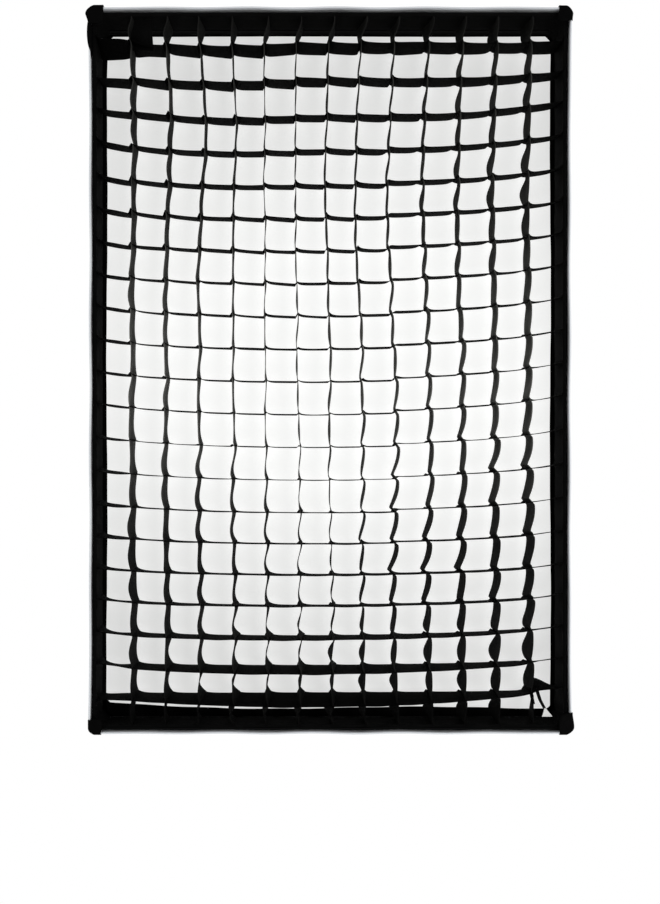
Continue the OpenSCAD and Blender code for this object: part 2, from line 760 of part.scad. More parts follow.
module edge_binding() {
    x = front_w / 2 + 0.05;
    z = front_h / 2 + 0.05;
    long = front_h / 2 - pocket_leg - 0.3;
    short = front_w / 2 - pocket_leg - 0.3;
    color([0.6, 0.62, 0.64]) on_axis() for (side = [-1, 1]) {
        translate([side * (x + binding_t / 2) - binding_t / 2, front_y, -long])
            cube([binding_t, binding_w, 2 * long]);
        translate([-short, front_y, side * (z + binding_t / 2) - binding_t / 2])
            cube([2 * short, binding_w, binding_t]);
    }
}

module corner_pocket_top_left() {
    color([0.02, 0.02, 0.02]) at_corner(false, true) corner_pocket();
}

module corner_pocket_top_right() {
    color([0.02, 0.02, 0.02]) at_corner(true, true) corner_pocket();
}

module corner_pocket_bottom_left() {
    color([0.02, 0.02, 0.02]) at_corner(false, false) corner_pocket();
}

module corner_pocket_bottom_right() {
    color([0.02, 0.02, 0.02]) at_corner(true, false) corner_pocket();
}

module baffle_clips() {
    start = clip_at - clip_dir * clip_len / 2;
    color([0.05, 0.05, 0.05]) on_axis() for (x = [0, 1], z = [0, 1]) mirror([x, 0, 0]) mirror([0, 0, z])
        difference() {
            rod_along(clip_out, start, clip_dir, clip_len);
            rod_along(clip_bore, start - clip_dir, clip_dir, clip_len + 2);
        }
}

module baffle_straps() {
    color([0.8, 0.8, 0.8]) on_axis() for (x = [0, 1], z = [0, 1]) mirror([x, 0, 0]) mirror([0, 0, z])
        translate([baffle_w / 2, baffle_y + baffle_t / 2, baffle_h / 2]) rotate([0, -strap_angle, 0])
            translate([-strap_lap, 0, -strap_w / 2]) cube([strap_lap + strap_len, strap_t, strap_w]);
}

module inner_baffle() {
    color([0.95, 0.95, 0.95]) on_axis()
        run_y(baffle_y + baffle_t / 2, baffle_t) cut_rect(baffle_w / 2, baffle_h / 2, 6);
}

module diffuser_loop_tape() {
    color([0.04, 0.04, 0.04]) tape_frame(loop_in, diffuser_y + 12 - tape_w);
}

module diffuser_hook_tape() {
    color([0.04, 0.04, 0.04]) tape_frame(hook_in, diffuser_y + 10 - tape_w);
}

module front_diffuser() {
    color([0.96, 0.96, 0.96]) on_axis()
        run_y(diffuser_y + diffuser_t, diffuser_t) cut_rect(grid_x, grid_z, corner_cut);
}

module grid_loop_tape() {
    color([0.04, 0.04, 0.04]) tape_frame(loop_in, grid_front + 4);
}

module grid_hook_tape() {
    color([0.04, 0.04, 0.04]) tape_frame(hook_in, grid_front + 2);
}

module grid_border() {
    color([0.03, 0.03, 0.03]) on_axis() run_y(grid_back, grid_depth) difference() {
        cut_rect(grid_x, grid_z, corner_cut);
        cut_rect(grid_x - border_t, grid_z - border_t, corner_cut - border_t * 0.586);
    }
}

module grid_upright_strips() {
    half = grid_z - border_t;
    slot = strip_t + 2 * slot_clear;
    outline = [for (p = comb(half, grid_depth, cell_h, grid_rows, slot)) [-p[1], p[0]]];
    color([0.05, 0.05, 0.05]) on_axis() for (i = [1:grid_cols - 1])
        translate([cell_w * (i - grid_cols / 2) - strip_t / 2, grid_back, 0])
            rotate([90, 0, 90]) linear_extrude(height = strip_t) polygon(outline);
}

module grid_level_strips() {
    half = grid_x - border_t;
    slot = strip_t + 2 * slot_clear;
    color([0.05, 0.05, 0.05]) on_axis() for (i = [1:grid_rows - 1])
        translate([0, grid_front, cell_h * (i - grid_rows / 2) - strip_t / 2])
            linear_extrude(height = strip_t) polygon(comb(half, grid_depth, cell_w, grid_cols, slot));
}

stand_clamp_body();
tilt_bolt();
friction_washers();
stand_screw();
stand_knob();
tilt_lever();
lever_nut();
tilt_arm();
bayonet_ring();
bracket_screws();
clamp_frame();
frame_screws();
lower_pad();
press_plate();
press_pad();
press_rod();
press_knob();
press_lock_screw();
press_lock_knob();
latch_housing();
latch_pin();
latch_knob();
insert_ring();
bearing_sleeve();
retaining_ring();
retaining_screws();
speed_ring();
ring_lock_left();
ring_lock_right();
lock_knob_left();
lock_knob_right();
rib_top_left();
rib_top_right();
rib_bottom_left();
rib_bottom_right();
shell_top();
shell_bottom();
shell_left();
shell_right();
rear_skirt();
edge_binding();
corner_pocket_top_left();
corner_pocket_top_right();
corner_pocket_bottom_left();
corner_pocket_bottom_right();
baffle_clips();
baffle_straps();
inner_baffle();
diffuser_loop_tape();
diffuser_hook_tape();
front_diffuser();
grid_loop_tape();
grid_hook_tape();
grid_border();
grid_upright_strips();
grid_level_strips();
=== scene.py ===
"""Looks of a strip softbox with a cloth grid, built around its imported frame. All lengths are in metres."""
import bpy
import numpy as np
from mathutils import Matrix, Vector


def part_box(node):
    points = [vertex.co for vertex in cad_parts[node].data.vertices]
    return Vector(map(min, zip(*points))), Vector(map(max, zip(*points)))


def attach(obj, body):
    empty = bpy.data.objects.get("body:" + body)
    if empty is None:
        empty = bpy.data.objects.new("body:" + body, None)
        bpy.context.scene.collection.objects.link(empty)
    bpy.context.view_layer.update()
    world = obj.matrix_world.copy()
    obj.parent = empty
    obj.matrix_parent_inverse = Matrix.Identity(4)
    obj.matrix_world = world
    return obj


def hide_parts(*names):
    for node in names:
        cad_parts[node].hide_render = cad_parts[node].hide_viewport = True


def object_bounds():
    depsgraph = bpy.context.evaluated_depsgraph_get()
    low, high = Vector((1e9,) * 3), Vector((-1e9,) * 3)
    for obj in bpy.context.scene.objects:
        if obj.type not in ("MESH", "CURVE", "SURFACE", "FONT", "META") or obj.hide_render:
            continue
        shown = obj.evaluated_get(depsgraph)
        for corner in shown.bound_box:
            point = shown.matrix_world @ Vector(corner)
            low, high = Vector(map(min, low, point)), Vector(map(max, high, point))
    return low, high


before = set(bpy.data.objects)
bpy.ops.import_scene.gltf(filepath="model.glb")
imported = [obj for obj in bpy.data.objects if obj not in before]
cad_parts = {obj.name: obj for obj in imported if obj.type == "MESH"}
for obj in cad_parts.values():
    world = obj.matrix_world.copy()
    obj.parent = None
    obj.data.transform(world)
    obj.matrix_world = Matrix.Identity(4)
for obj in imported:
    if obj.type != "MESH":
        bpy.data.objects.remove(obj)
cad_box = [list(corner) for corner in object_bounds()]


# The castings: the stand clamp, the tilting arm and the bayonet ring, which carry all the rest.
# Die-cast aluminium under a fine matt black powder coat, rubbed grey along its edges.
def rgba(colour):
    """A colour with its alpha; a grey may be one number."""
    return *np.broadcast_to(colour, 3).tolist(), 1


def new_finish(name, colour, roughness, metallic=0.0, specular=0.5):
    """A material with one shader, whose plain values sit on the shader's own sockets."""
    finish = bpy.data.materials.new(name)
    finish.use_nodes = True
    values = finish.node_tree.nodes["Principled BSDF"].inputs
    values["Base Color"].default_value = rgba(colour)
    values["Roughness"].default_value = roughness
    values["Metallic"].default_value = metallic
    values["Specular IOR Level"].default_value = specular
    return finish


def add(finish, kind, inputs, **settings):
    """Adds a node to a finish: settings are the node's own, inputs are values or other nodes' outputs."""
    made = finish.node_tree.nodes.new(kind)
    for name, value in settings.items():
        setattr(made, name, value)
    for name, value in inputs.items():
        if isinstance(value, bpy.types.NodeSocket):
            finish.node_tree.links.new(value, made.inputs[name])
        else:
            made.inputs[name].default_value = value
    return made


def feed(finish, socket, value):
    """Links a node's output to one of the shader's sockets."""
    finish.node_tree.links.new(value, finish.node_tree.nodes["Principled BSDF"].inputs[socket])


def on_piece(finish):
    """A place on the piece, in the piece's own coordinates."""
    return add(finish, "ShaderNodeTexCoord", {}).outputs["Object"]


def spots(finish, size, detail=2.0, stretch=(1, 1, 1)):
    """Noise from 0 to 1 over the piece, with spots about size across, drawn out where stretch is small."""
    place = add(finish, "ShaderNodeMapping", {"Vector": on_piece(finish), "Scale": stretch}).outputs[0]
    noise = {"Vector": place, "Scale": 1 / size, "Detail": detail}
    return add(finish, "ShaderNodeTexNoise", noise).outputs[0]


def between(finish, factor, low, high, start=0.3, end=0.7):
    """A number that runs from low to high as the factor goes from start to end."""
    limits = {"Value": factor, "From Min": start, "From Max": end, "To Min": low, "To Max": high}
    return add(finish, "ShaderNodeMapRange", limits).outputs[0]


def shade(finish, factor, low, high):
    """Colours a finish from low to high as the factor goes from 0 to 1."""
    made = add(finish, "ShaderNodeMix", {0: factor}, data_type="RGBA")
    made.inputs[6].default_value = rgba(low)
    made.inputs[7].default_value = rgba(high)
    feed(finish, "Base Color", made.outputs[2])


def gloss(finish, factor, low, high):
    """Gives a finish a roughness that runs from low to high with the factor."""
    feed(finish, "Roughness", between(finish, factor, low, high))


def relief(finish, height, depth):
    """Bumps the surface by a height from 0 to 1, depth metres high."""
    feed(finish, "Normal", add(finish, "ShaderNodeBump", {"Height": height, "Distance": depth}).outputs[0])


def worn_edges(finish, radius):
    """1 on sharp edges: where the plain normal and the normal rounded over radius part."""
    rounded = add(finish, "ShaderNodeBevel", {"Radius": radius}, samples=4).outputs[0]
    plain = add(finish, "ShaderNodeNewGeometry", {}).outputs["True Normal"]
    agree = add(finish, "ShaderNodeVectorMath", {0: rounded, 1: plain}, operation="DOT_PRODUCT")
    return between(finish, agree.outputs["Value"], 1, 0, 0.72, 0.97)


def coat(name, plain, rubbed, edge, spot, matt, grain, depth):
    """A coat that is rubbed paler along sharp edges, over the width edge. Its roughness lies between the
    two of matt, in spots of that size, and its grain is depth high."""
    finish = new_finish(name, plain, matt[0])
    shade(finish, worn_edges(finish, edge), plain, rubbed)
    gloss(finish, spots(finish, spot), *matt)
    relief(finish, spots(finish, grain), depth)
    return finish


def dress(finish, *names):
    """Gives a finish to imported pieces."""
    for name in names:
        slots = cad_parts[name].data.materials
        slots.clear()
        slots.append(finish)


powder_coat = coat("powder_coat", plain=(0.022, 0.022, 0.024), rubbed=(0.2, 0.2, 0.21), edge=0.0007,
    spot=0.012, matt=(0.5, 0.72), grain=0.0007, depth=0.00012)
dress(powder_coat, "stand_clamp_body", "tilt_arm", "bayonet_ring")


# The tilt bolt, the clamp's rod, the latch pin and the screws that the knobs turn.
# Bright zinc-plated steel; the screws carry a rolled thread, and the rod and the pin are smooth.
def zinc_steel(name):
    """Plated steel with faint streaks and a roughness that changes over a few millimetres."""
    finish = new_finish(name, (0.6, 0.6, 0.61), 0.3, metallic=1.0)
    shade(finish, spots(finish, 0.004), (0.52, 0.52, 0.53), (0.68, 0.67, 0.65))
    gloss(finish, spots(finish, 0.003), 0.22, 0.42)
    return finish


def stripes(finish, place, pitch, way):
    """A wave from 0 to 1 of that pitch along one axis of a place."""
    wave = {"Vector": place, "Scale": np.pi / 10 / pitch}
    return add(finish, "ShaderNodeTexWave", wave, bands_direction=way).outputs["Fac"]


def threaded(name, axis, pitch):
    """Plated steel with a thread: a wave of that pitch along the screw's own axis."""
    finish = zinc_steel(name)
    relief(finish, stripes(finish, on_piece(finish), pitch, axis), 0.0005)
    return finish


dress(zinc_steel("smooth_steel"), "tilt_bolt", "press_rod", "latch_pin")
dress(threaded("screw_along_depth", "Y", 0.00125), "stand_screw", "press_lock_screw")
dress(threaded("screw_across", "X", 0.001), "ring_lock_left", "ring_lock_right")


# The friction washers, the lever's nut and the small screws.
# Pale nylon washers keep the tilt joint tight, the nut is turned brass, and the screws are blackened steel.
nylon = new_finish("washer_nylon", (0.8, 0.8, 0.77), 0.45)
shade(nylon, spots(nylon, 0.006), (0.74, 0.74, 0.7), (0.84, 0.84, 0.81))
dress(nylon, "friction_washers")
brass = new_finish("turned_brass", (0.75, 0.58, 0.28), 0.3, metallic=1.0)
gloss(brass, spots(brass, 0.002, stretch=(8, 1, 1)), 0.2, 0.45)
dress(brass, "lever_nut")
black_oxide = new_finish("black_oxide", 0.05, 0.4, metallic=1.0)
shade(black_oxide, worn_edges(black_oxide, 0.0004), (0.04, 0.04, 0.042), 0.3)
gloss(black_oxide, spots(black_oxide, 0.002), 0.32, 0.55)
dress(black_oxide, "bracket_screws", "frame_screws", "retaining_screws")


# The knobs and the tilt lever, with the clips that hold the inner baffle on the ribs.
# Moulded glass-filled nylon with a fine spark grain, polished a little where fingers hold it.
knob_plastic = coat("knob_plastic", plain=(0.017, 0.017, 0.018), rubbed=(0.06, 0.06, 0.062), edge=0.0006,
    spot=0.009, matt=(0.4, 0.62), grain=0.0005, depth=0.00008)
dress(knob_plastic, "stand_knob", "tilt_lever", "press_knob", "press_lock_knob", "lock_knob_left",
    "lock_knob_right", "baffle_clips")


# The clamp frame and its press plate, and the housing of the latch.
# Folded and turned aluminium with a satin black coat.
satin_black = coat("satin_black", plain=(0.028, 0.028, 0.03), rubbed=(0.22, 0.22, 0.23), edge=0.0006,
    spot=0.015, matt=(0.34, 0.5), grain=0.0015, depth=0.00003)
dress(satin_black, "clamp_frame", "press_plate", "latch_housing")


# The two pads that grip the flash.
# Black rubber with moulded ribs along the depth, glued to the arm and to the press plate.
rubber = new_finish("pad_rubber", 0.02, 0.75, specular=0.35)
rubber_ribs = stripes(rubber, on_piece(rubber), 0.004, "X")
shade(rubber, rubber_ribs, 0.012, 0.032)
relief(rubber, rubber_ribs, 0.0008)
dress(rubber, "lower_pad", "press_pad")


# The latch knob, pulled to free the softbox from the bayonet.
# Smooth red plastic, so that the hand finds it in the dark.
latch_red = new_finish("latch_red", (0.45, 0.03, 0.03), 0.32)
shade(latch_red, spots(latch_red, 0.006), (0.4, 0.024, 0.024), (0.48, 0.036, 0.034))
gloss(latch_red, spots(latch_red, 0.003), 0.26, 0.4)
dress(latch_red, "latch_knob")


# The insert with its bearing sleeve and the retaining ring, which let the softbox turn on the bracket.
# Turned aluminium: fine tool rings run round the optical axis.
sleeve_low, sleeve_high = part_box("bearing_sleeve")
axis_z = (sleeve_low.z + sleeve_high.z) / 2
tool_pitch = 0.0006
turned = new_finish("turned_aluminium", (0.62, 0.63, 0.65), 0.34, metallic=1.0)
turned_place = {"Vector": on_piece(turned), "Location": (0, 0, -axis_z)}
turned_place = add(turned, "ShaderNodeMapping", turned_place).outputs[0]
tool_rings = {"Vector": turned_place, "Scale": np.pi / 10 / tool_pitch, "Distortion": 0.6}
tool_rings = add(turned, "ShaderNodeTexWave", tool_rings, wave_type="RINGS", rings_direction="Y")
gloss(turned, spots(turned, 0.005), 0.26, 0.44)
relief(turned, tool_rings.outputs["Fac"], 0.00002)
dress(turned, "insert_ring", "bearing_sleeve", "retaining_ring")


# The speed ring, which turns on the sleeve and takes the four ribs in its sockets.
# Cast aluminium, turned and coated satin black.
ring_black = coat("ring_black", plain=(0.03, 0.03, 0.032), rubbed=(0.24, 0.24, 0.25), edge=0.0008,
    spot=0.01, matt=(0.36, 0.52), grain=0.0012, depth=0.00004)
dress(ring_black, "speed_ring")


# The four ribs, which are pushed into the ring and bowed into the corner pockets.
# Drawn spring steel rod, with streaks along its length.
rib_steel = new_finish("rib_steel", (0.62, 0.62, 0.63), 0.3, metallic=1.0)
gloss(rib_steel, spots(rib_steel, 0.004, stretch=(1, 0.2, 1)), 0.22, 0.42)
ribs = "rib_top_left", "rib_top_right", "rib_bottom_left", "rib_bottom_right"
dress(rib_steel, *ribs)


# The shell: four panels sewn together along the ribs, each with a straight lip in front of a bowed body.
# Black coated nylon outside and a silver lining inside; the cloth is drawn in between the ribs and
# puckers at the seams.
shell_low, shell_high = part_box("shell_top")
front_y, back_y = shell_low.y, shell_high.y
half_w, half_h = shell_high.x, shell_high.z - axis_z
lip_depth, rear_r, cloth_t = 0.095, 0.104, 0.002
body_depth = back_y - front_y - lip_depth
round_share, cloth_sag, corner_round, pucker_w = 0.4, 0.010, 0.007, 0.014
front_r = np.hypot(half_w, half_h)
RIGHT, TOP, LEFT, BOTTOM = range(4)
side_half = half_h, half_w, half_h, half_w


def smooth(x):
    """Rises from 0 to 1 as x does, level at both ends."""
    x = np.clip(x, 0, 1)
    return x * x * (3 - 2 * x)


def points_at(x, y, z):
    """One array of points from their coordinates, with z counted from the optical axis."""
    return np.stack(np.broadcast_arrays(x, y, axis_z + z), -1)


def on_side(side, out, along, y):
    """Points so far out from the optical axis on one of the four sides, and so far along that side."""
    x, z = [(out, along), (-along, out), (-out, -along), (along, -out)][side]
    return points_at(x, y, z)


def seam_line(s, inset):
    """The upper right seam, from the ring (s = 0) along the bowed body (s = 1) to the front edge (s = 2).
    Its radius grows as 1 - (1 - s)^2, then it runs straight forward; inset moves it inside the cloth."""
    body, ahead = np.minimum(s, 1), np.maximum(s - 1, 0)
    radius = rear_r + (front_r - rear_r) * (1 - (1 - body) ** 2)
    slope = (front_r - rear_r) * 2 * (1 - body) / body_depth
    lean = np.sqrt(1 + slope ** 2)
    y = back_y - body * body_depth - ahead * lip_depth - inset * slope / lean
    return radius * half_w / front_r - inset / lean, y, radius * half_h / front_r - inset / lean


def drawn_in(side, q):
    """How far the grid draws a lip in, drawn * (1 - q^8): the sides give way, and the top is pushed out."""
    drawn = {LEFT: 0.0017, RIGHT: 0.0022, TOP: -0.0008, BOTTOM: 0.0}[side]
    return drawn * (1 - q ** 8)


def slack(side, s, q, half_width):
    """How far the cloth stands off its smooth shape: broad folds over the body, folds that fan out from the
    ring, short puckers pucker_w from the seams, and a lip that waves and is drawn in; 0 on the seams."""
    body, lip = np.minimum(s, 1), np.maximum(s - 1, 0)
    free = 1 - q ** 2
    from_seam = (1 - np.abs(q)) * half_width / pucker_w
    broad = 0.0028 * np.sin(np.pi * body) * free * np.sin(5.5 * q + 7 * body + 1.9 * side)
    fan = 0.0020 * np.exp(-((body - 0.13) / 0.22) ** 2) * free * np.cos(12 * q + 3 * np.sin(4 * q) + side)
    pucker = 0.0008 * from_seam * np.exp(1 - from_seam) * np.sin(95 * body + 3 * np.sin(9 * body) + side)
    tension = 0.0009 * np.exp(-((s - 1) / 0.16) ** 2) * free * np.sin(38 * q + 9 * s + side)
    rim = 0.0006 * lip * free * np.sin(17 * q + 2 * side)
    return broad + fan + pucker * (s < 1.02) + tension + rim - lip * drawn_in(side, q)


def panel_points(side, s, q, inset):
    """Points of one panel at s from ring to front edge and q from -1 to 1 between its two seams.
    The rear edge is an arc about the axis, which fades into a straight one. Between the ribs the cloth dips
    by cloth_sag * (1 - q^2) * sin(pi * s), and the lip goes round its corners in an arc of corner_round."""
    x, y, z = seam_line(s, inset)
    x0, _, z0 = seam_line(0 * s, inset)
    if side in (TOP, BOTTOM):
        x, z, x0, z0 = z, x, z0, x0
    half_angle = np.arctan2(z0, x0)
    angle = np.arcsin(q * np.sin(half_angle))
    arc = (1 - smooth(s / round_share)) * np.hypot(x0, z0) * (np.cos(angle) - np.cos(half_angle))
    dip = cloth_sag * (1 - q ** 2) * np.sin(np.pi * np.minimum(s, 1))
    bend = corner_round * smooth((s - 0.85) / 0.25) + 1e-6
    along = q * (z - (1 - np.sqrt(0.5)) * bend)
    past = np.maximum(bend - (z - np.abs(along)), 0)
    out = x + arc - dip + slack(side, s, q, z) - (bend - np.sqrt(bend ** 2 - past ** 2))
    return on_side(side, out, along, y)


def piece(name, points, faces, finishes, cloth_map=None, finish_of=None):
    """A smooth mesh object from points and four-cornered faces that rides on the softbox. cloth_map holds a
    flat place in metres for each point, and finish_of the number of each face's finish."""
    mesh = bpy.data.meshes.new(name)
    mesh.from_pydata(points.tolist(), [], faces.tolist())
    mesh.polygons.foreach_set("use_smooth", np.ones(len(faces), bool))
    if finish_of is not None:
        mesh.polygons.foreach_set("material_index", finish_of.astype(np.int32))
    if cloth_map is not None:
        mesh.uv_layers.new(name="cloth").data.foreach_set("uv", cloth_map[faces.ravel()].ravel())
    for finish in finishes:
        mesh.materials.append(finish)
    mesh.set_sharp_from_angle(angle=np.radians(50))
    made = bpy.data.objects.new(name, mesh)
    bpy.context.scene.collection.objects.link(made)
    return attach(made, "softbox")


def cloth(name, face, back, finishes, band=False):
    """Closed sheets between two grids of points (sheets, rows, cols, 3): the face, the back and the rim
    that joins their edges. The cloth map is the distance along the middle row and column. A second finish
    goes on the back. In a band, the last row joins the first."""
    count, rows, cols = face.shape[:3]
    n = rows * cols
    index = np.arange(n).reshape(rows, cols)
    index = np.concatenate([index, index[:1]]) if band else index
    quads = np.stack([index[:-1, :-1], index[:-1, 1:], index[1:, 1:], index[1:, :-1]], -1).reshape(-1, 4)
    runs = [(index[:-1, -1], index[1:, -1]), (index[1:, 0], index[:-1, 0])]
    if not band:
        runs += [(index[0, :-1], index[0, 1:]), (index[-1, 1:], index[-1, :-1])]
    start, end = (np.concatenate(ends) for ends in zip(*runs))
    rim = np.stack([end, start, start + n, end + n], -1)
    one = np.concatenate([quads, quads[:, ::-1] + n, rim])
    faces = (one + 2 * n * np.arange(count)[:, None, None]).reshape(-1, 4)
    points = np.concatenate([face.reshape(count, n, 3), back.reshape(count, n, 3)], 1).reshape(-1, 3)
    a, b, c, d = (points[faces[:, i]] for i in range(4))
    if (np.cross(b, c) * a).sum() + (np.cross(c, d) * a).sum() < 0:
        faces = faces[:, ::-1]
    lines = face[0, :, cols // 2], face[0, rows // 2]
    steps = [np.linalg.norm(np.diff(line, axis=0), axis=-1) for line in lines]
    u, v = (np.concatenate([[0], np.cumsum(step)]) for step in steps)
    flat = np.stack(np.meshgrid(u, v, indexing="ij"), -1).reshape(-1, 2)
    finish_of = np.tile(np.repeat([0, len(finishes) - 1, 0], [len(quads), len(quads), len(rim)]), count)
    return piece(name, points, faces, finishes, np.tile(flat, (2 * count, 1)), finish_of)


def worked_out(finish, operation, first, second):
    """A number worked out from two others."""
    return add(finish, "ShaderNodeMath", {0: first, 1: second}, operation=operation).outputs[0]


def weave(finish, pitch):
    """Height of a plain weave on the cloth map: two crossing rows of threads, pitch metres apart."""
    place = add(finish, "ShaderNodeUVMap", {}, uv_map="cloth").outputs[0]
    return worked_out(finish, "MULTIPLY", *(stripes(finish, place, pitch, way) for way in "XY"))


def set_sheen(finish, weight, roughness):
    """The soft shine of cloth seen along its surface."""
    values = finish.node_tree.nodes["Principled BSDF"].inputs
    values["Sheen Weight"].default_value = weight
    values["Sheen Roughness"].default_value = roughness


black_nylon = new_finish("black_nylon", (0.011, 0.011, 0.012), 0.55, specular=0.2)
shade(black_nylon, spots(black_nylon, 0.05, 4), (0.0095, 0.0095, 0.01), (0.0125, 0.0125, 0.013))
gloss(black_nylon, spots(black_nylon, 0.012, 4), 0.48, 0.6)
relief(black_nylon, weave(black_nylon, 0.0009), 0.00012)
set_sheen(black_nylon, 0.06, 0.4)
silver_lining = new_finish("silver_lining", (0.72, 0.73, 0.74), 0.42, metallic=0.85)
shade(silver_lining, weave(silver_lining, 0.0012), (0.66, 0.67, 0.68), (0.8, 0.81, 0.82))
gloss(silver_lining, spots(silver_lining, 0.02), 0.36, 0.52)
relief(silver_lining, spots(silver_lining, 0.006, 3), 0.0004)

panel_s = np.concatenate([np.linspace(0, 1, 61) ** 1.4, np.linspace(1, 2, 13)[1:]])[:, None]
panel_q = np.sin(np.linspace(-np.pi / 2, np.pi / 2, 73))[None]
panel_t = cloth_t - 0.0012 * smooth((panel_s - 1.85) / 0.1)
panel_cut = {"top": (TOP, (0.60, 0.59), 0.257), "bottom": (BOTTOM, (0.60, 0.59), 0.257),
    "left": (LEFT, (0.90, 0.48), 0.341), "right": (RIGHT, (0.90, 0.48), 0.341)}
for label, (side, flat_size, flat_area) in panel_cut.items():
    panel_sides = (panel_points(side, panel_s, panel_q, inset)[None] for inset in (0 * panel_s, panel_t))
    panel = cloth(f"panel_{label}", *panel_sides, [black_nylon, silver_lining])
    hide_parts(f"shell_{label}")


# The seam tapes, one over each rib, from the ring to the front edge.
# Black woven tape folded over the seam and sewn down with a row of thread on each panel.
tape_half, tape_t = 0.010, 0.0009
seam_s = np.concatenate([np.linspace(0.01, 1, 91) ** 1.2, np.linspace(1, 1.6, 11)[1:]])[:, None]


def woven(name, dark, light, pitch, depth, roughness, specular):
    """Cloth of threads that lie pitch apart and stand depth high: dark between them and light on top."""
    finish = new_finish(name, light, roughness, specular=specular)
    shade(finish, weave(finish, pitch), dark, light)
    relief(finish, weave(finish, pitch), depth)
    return finish


def beside_seam(corner, s, distance, inset):
    """Points at a distance from one of the four seams, along the cloth: below zero on the panel before the
    seam, above zero on the panel after it."""
    x, _, z = seam_line(s, inset)
    before, after = corner, (corner + 1) % 4
    width = [z, x]
    on_before = panel_points(before, s, 1 - np.maximum(-distance, 0) / width[before % 2], inset)
    on_after = panel_points(after, s, np.maximum(distance, 0) / width[after % 2] - 1, inset)
    return np.where((distance < 0)[..., None], on_before, on_after)


def all_seams(s, distance, inset):
    """The same points beside each of the four seams."""
    return np.stack([beside_seam(corner, s, distance, inset) for corner in range(4)])


def stitches(name, centre, along, out, finish, length=0.0034, width=0.0009):
    """Thread: at each centre lies a spindle of 4 rings by 6 sides, of radius width / 2 * sin(pi * v). It is
    flattened and laid with its length on along and its top on out."""
    v, a = np.linspace(0.1, 0.9, 4)[:, None], np.linspace(0, 2 * np.pi, 7)[None, :6]
    girth = np.sin(np.pi * v) * width / 2
    spindle = np.broadcast_arrays((v - 0.5) * length, girth * np.cos(a), 0.8 * girth * np.sin(a))
    spindle = np.stack(spindle, -1).reshape(-1, 3)
    axes = np.stack([along, np.cross(out, along), out], 1)
    points = (centre[:, None] + np.einsum("kc,ncd->nkd", spindle, axes)).reshape(-1, 3)
    ring, step = np.meshgrid(6 * np.arange(3), np.arange(6), indexing="ij")
    after = (step + 1) % 6
    sides = np.stack([ring + step, ring + after, ring + 6 + after, ring + 6 + step], -1).reshape(-1, 4)
    ends = np.array([[3, 2, 1, 0], [5, 4, 3, 0], [18, 19, 20, 21], [18, 21, 22, 23]])
    faces = np.concatenate([sides, ends])[:, ::-1] + 24 * np.arange(len(centre))[:, None, None]
    return piece(name, points, faces.reshape(-1, 4), [finish])


def unit(v):
    """Vectors scaled to length 1."""
    return v / np.linalg.norm(v, axis=-1, keepdims=True)


seam_webbing = woven("seam_webbing", (0.008, 0.008, 0.009), (0.024, 0.024, 0.025), pitch=0.0016,
    depth=0.0003, roughness=0.7, specular=0.3)
set_sheen(seam_webbing, 0.15, 0.35)
tape_across = np.linspace(-tape_half, tape_half, 13)[None]
tape_sides = [all_seams(seam_s, tape_across, inset) for inset in (-tape_t - 0.0002, -0.0002)]
seam_tapes = cloth("seam_tapes", *tape_sides, [seam_webbing])

thread_black = new_finish("thread_black", (0.03, 0.03, 0.032), 0.6, specular=0.3)
shade(thread_black, spots(thread_black, 0.003), (0.022, 0.022, 0.024), (0.05, 0.05, 0.052))
stitch_s = np.linspace(0.02, 1.58, 150)[:, None]
stitch_rows = np.array([[-0.0075, 0.0075]])
centres, ahead, aside = (all_seams(stitch_s + ds, stitch_rows + dq, -tape_t - 0.0003).reshape(-1, 3)
    for ds, dq in ((0, 0), (0.004, 0), (0, 0.0015)))
stitch_along = unit(ahead - centres)
stitch_out = unit(np.cross(aside - centres, stitch_along))
seam_stitches = stitches("seam_stitches", centres, stitch_along, stitch_out, thread_black)


# The rear skirt, which closes the gap between the speed ring and the shell's rear edge.
# Black nylon, gathered round the ring by an elastic in its edge and lapped over the edge of the panels.
skirt_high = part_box("rear_skirt")[1]
skirt_places, skirt_radii = (0, 0.8, 1), (0.0795, rear_r, rear_r + 0.006)
skirt_depths = (skirt_high.y - 0.0012, back_y + 0.001, back_y - 0.0006)
skirt_a = np.linspace(0, 2 * np.pi, 361)[:-1, None]
skirt_v = np.linspace(0, 1, 15)[None]
pleat = np.cos(30 * skirt_a + 1.3 * np.sin(5 * skirt_a)) * (0.0003 + 0.0009 * skirt_v)
pleat = pleat * np.sin(np.pi * (0.12 + 0.8 * skirt_v))
skirt_radius = np.interp(skirt_v, skirt_places, skirt_radii)
skirt_x, skirt_z = skirt_radius * np.cos(skirt_a), skirt_radius * np.sin(skirt_a)
skirt_y = np.interp(skirt_v, skirt_places, skirt_depths) + pleat
skirt_sides = (points_at(skirt_x, skirt_y + shift, skirt_z)[None] for shift in (0.0006, 0))
skirt = cloth("gathered_skirt", *skirt_sides, [black_nylon], band=True)
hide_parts("rear_skirt")


# The edge binding on the four front edges, from corner pocket to corner pocket.
# Silver-grey woven tape folded over the raw edge of the lip and sewn through.
binding_out, binding_in, edge_t = 0.012, 0.005, 0.0008
binding_end = 0.0153
binding_tape = woven("binding_tape", (0.52, 0.54, 0.56), (0.68, 0.7, 0.72), pitch=0.0012, depth=0.00025,
    roughness=0.6, specular=0.2)
set_sheen(binding_tape, 0.1, 0.4)


def folded_edge(thickness):
    """The fold's cross-section: (outwards, forwards) from the lip's outer front edge, along the outside,
    round the edge in a half circle and back along the inside."""
    middle, radius = -edge_t / 2, edge_t / 2 + 0.0001 + thickness
    turn = np.linspace(0, np.pi, 9)
    outside = np.stack([np.full(8, middle + radius), np.linspace(-binding_out, -0.0005, 8)], 1)
    fold = np.stack([middle + radius * np.cos(turn), radius * np.sin(turn)], 1)
    inside = np.stack([np.full(5, middle - radius), np.linspace(-0.0005, -binding_in, 5)], 1)
    return np.concatenate([outside, fold, inside])


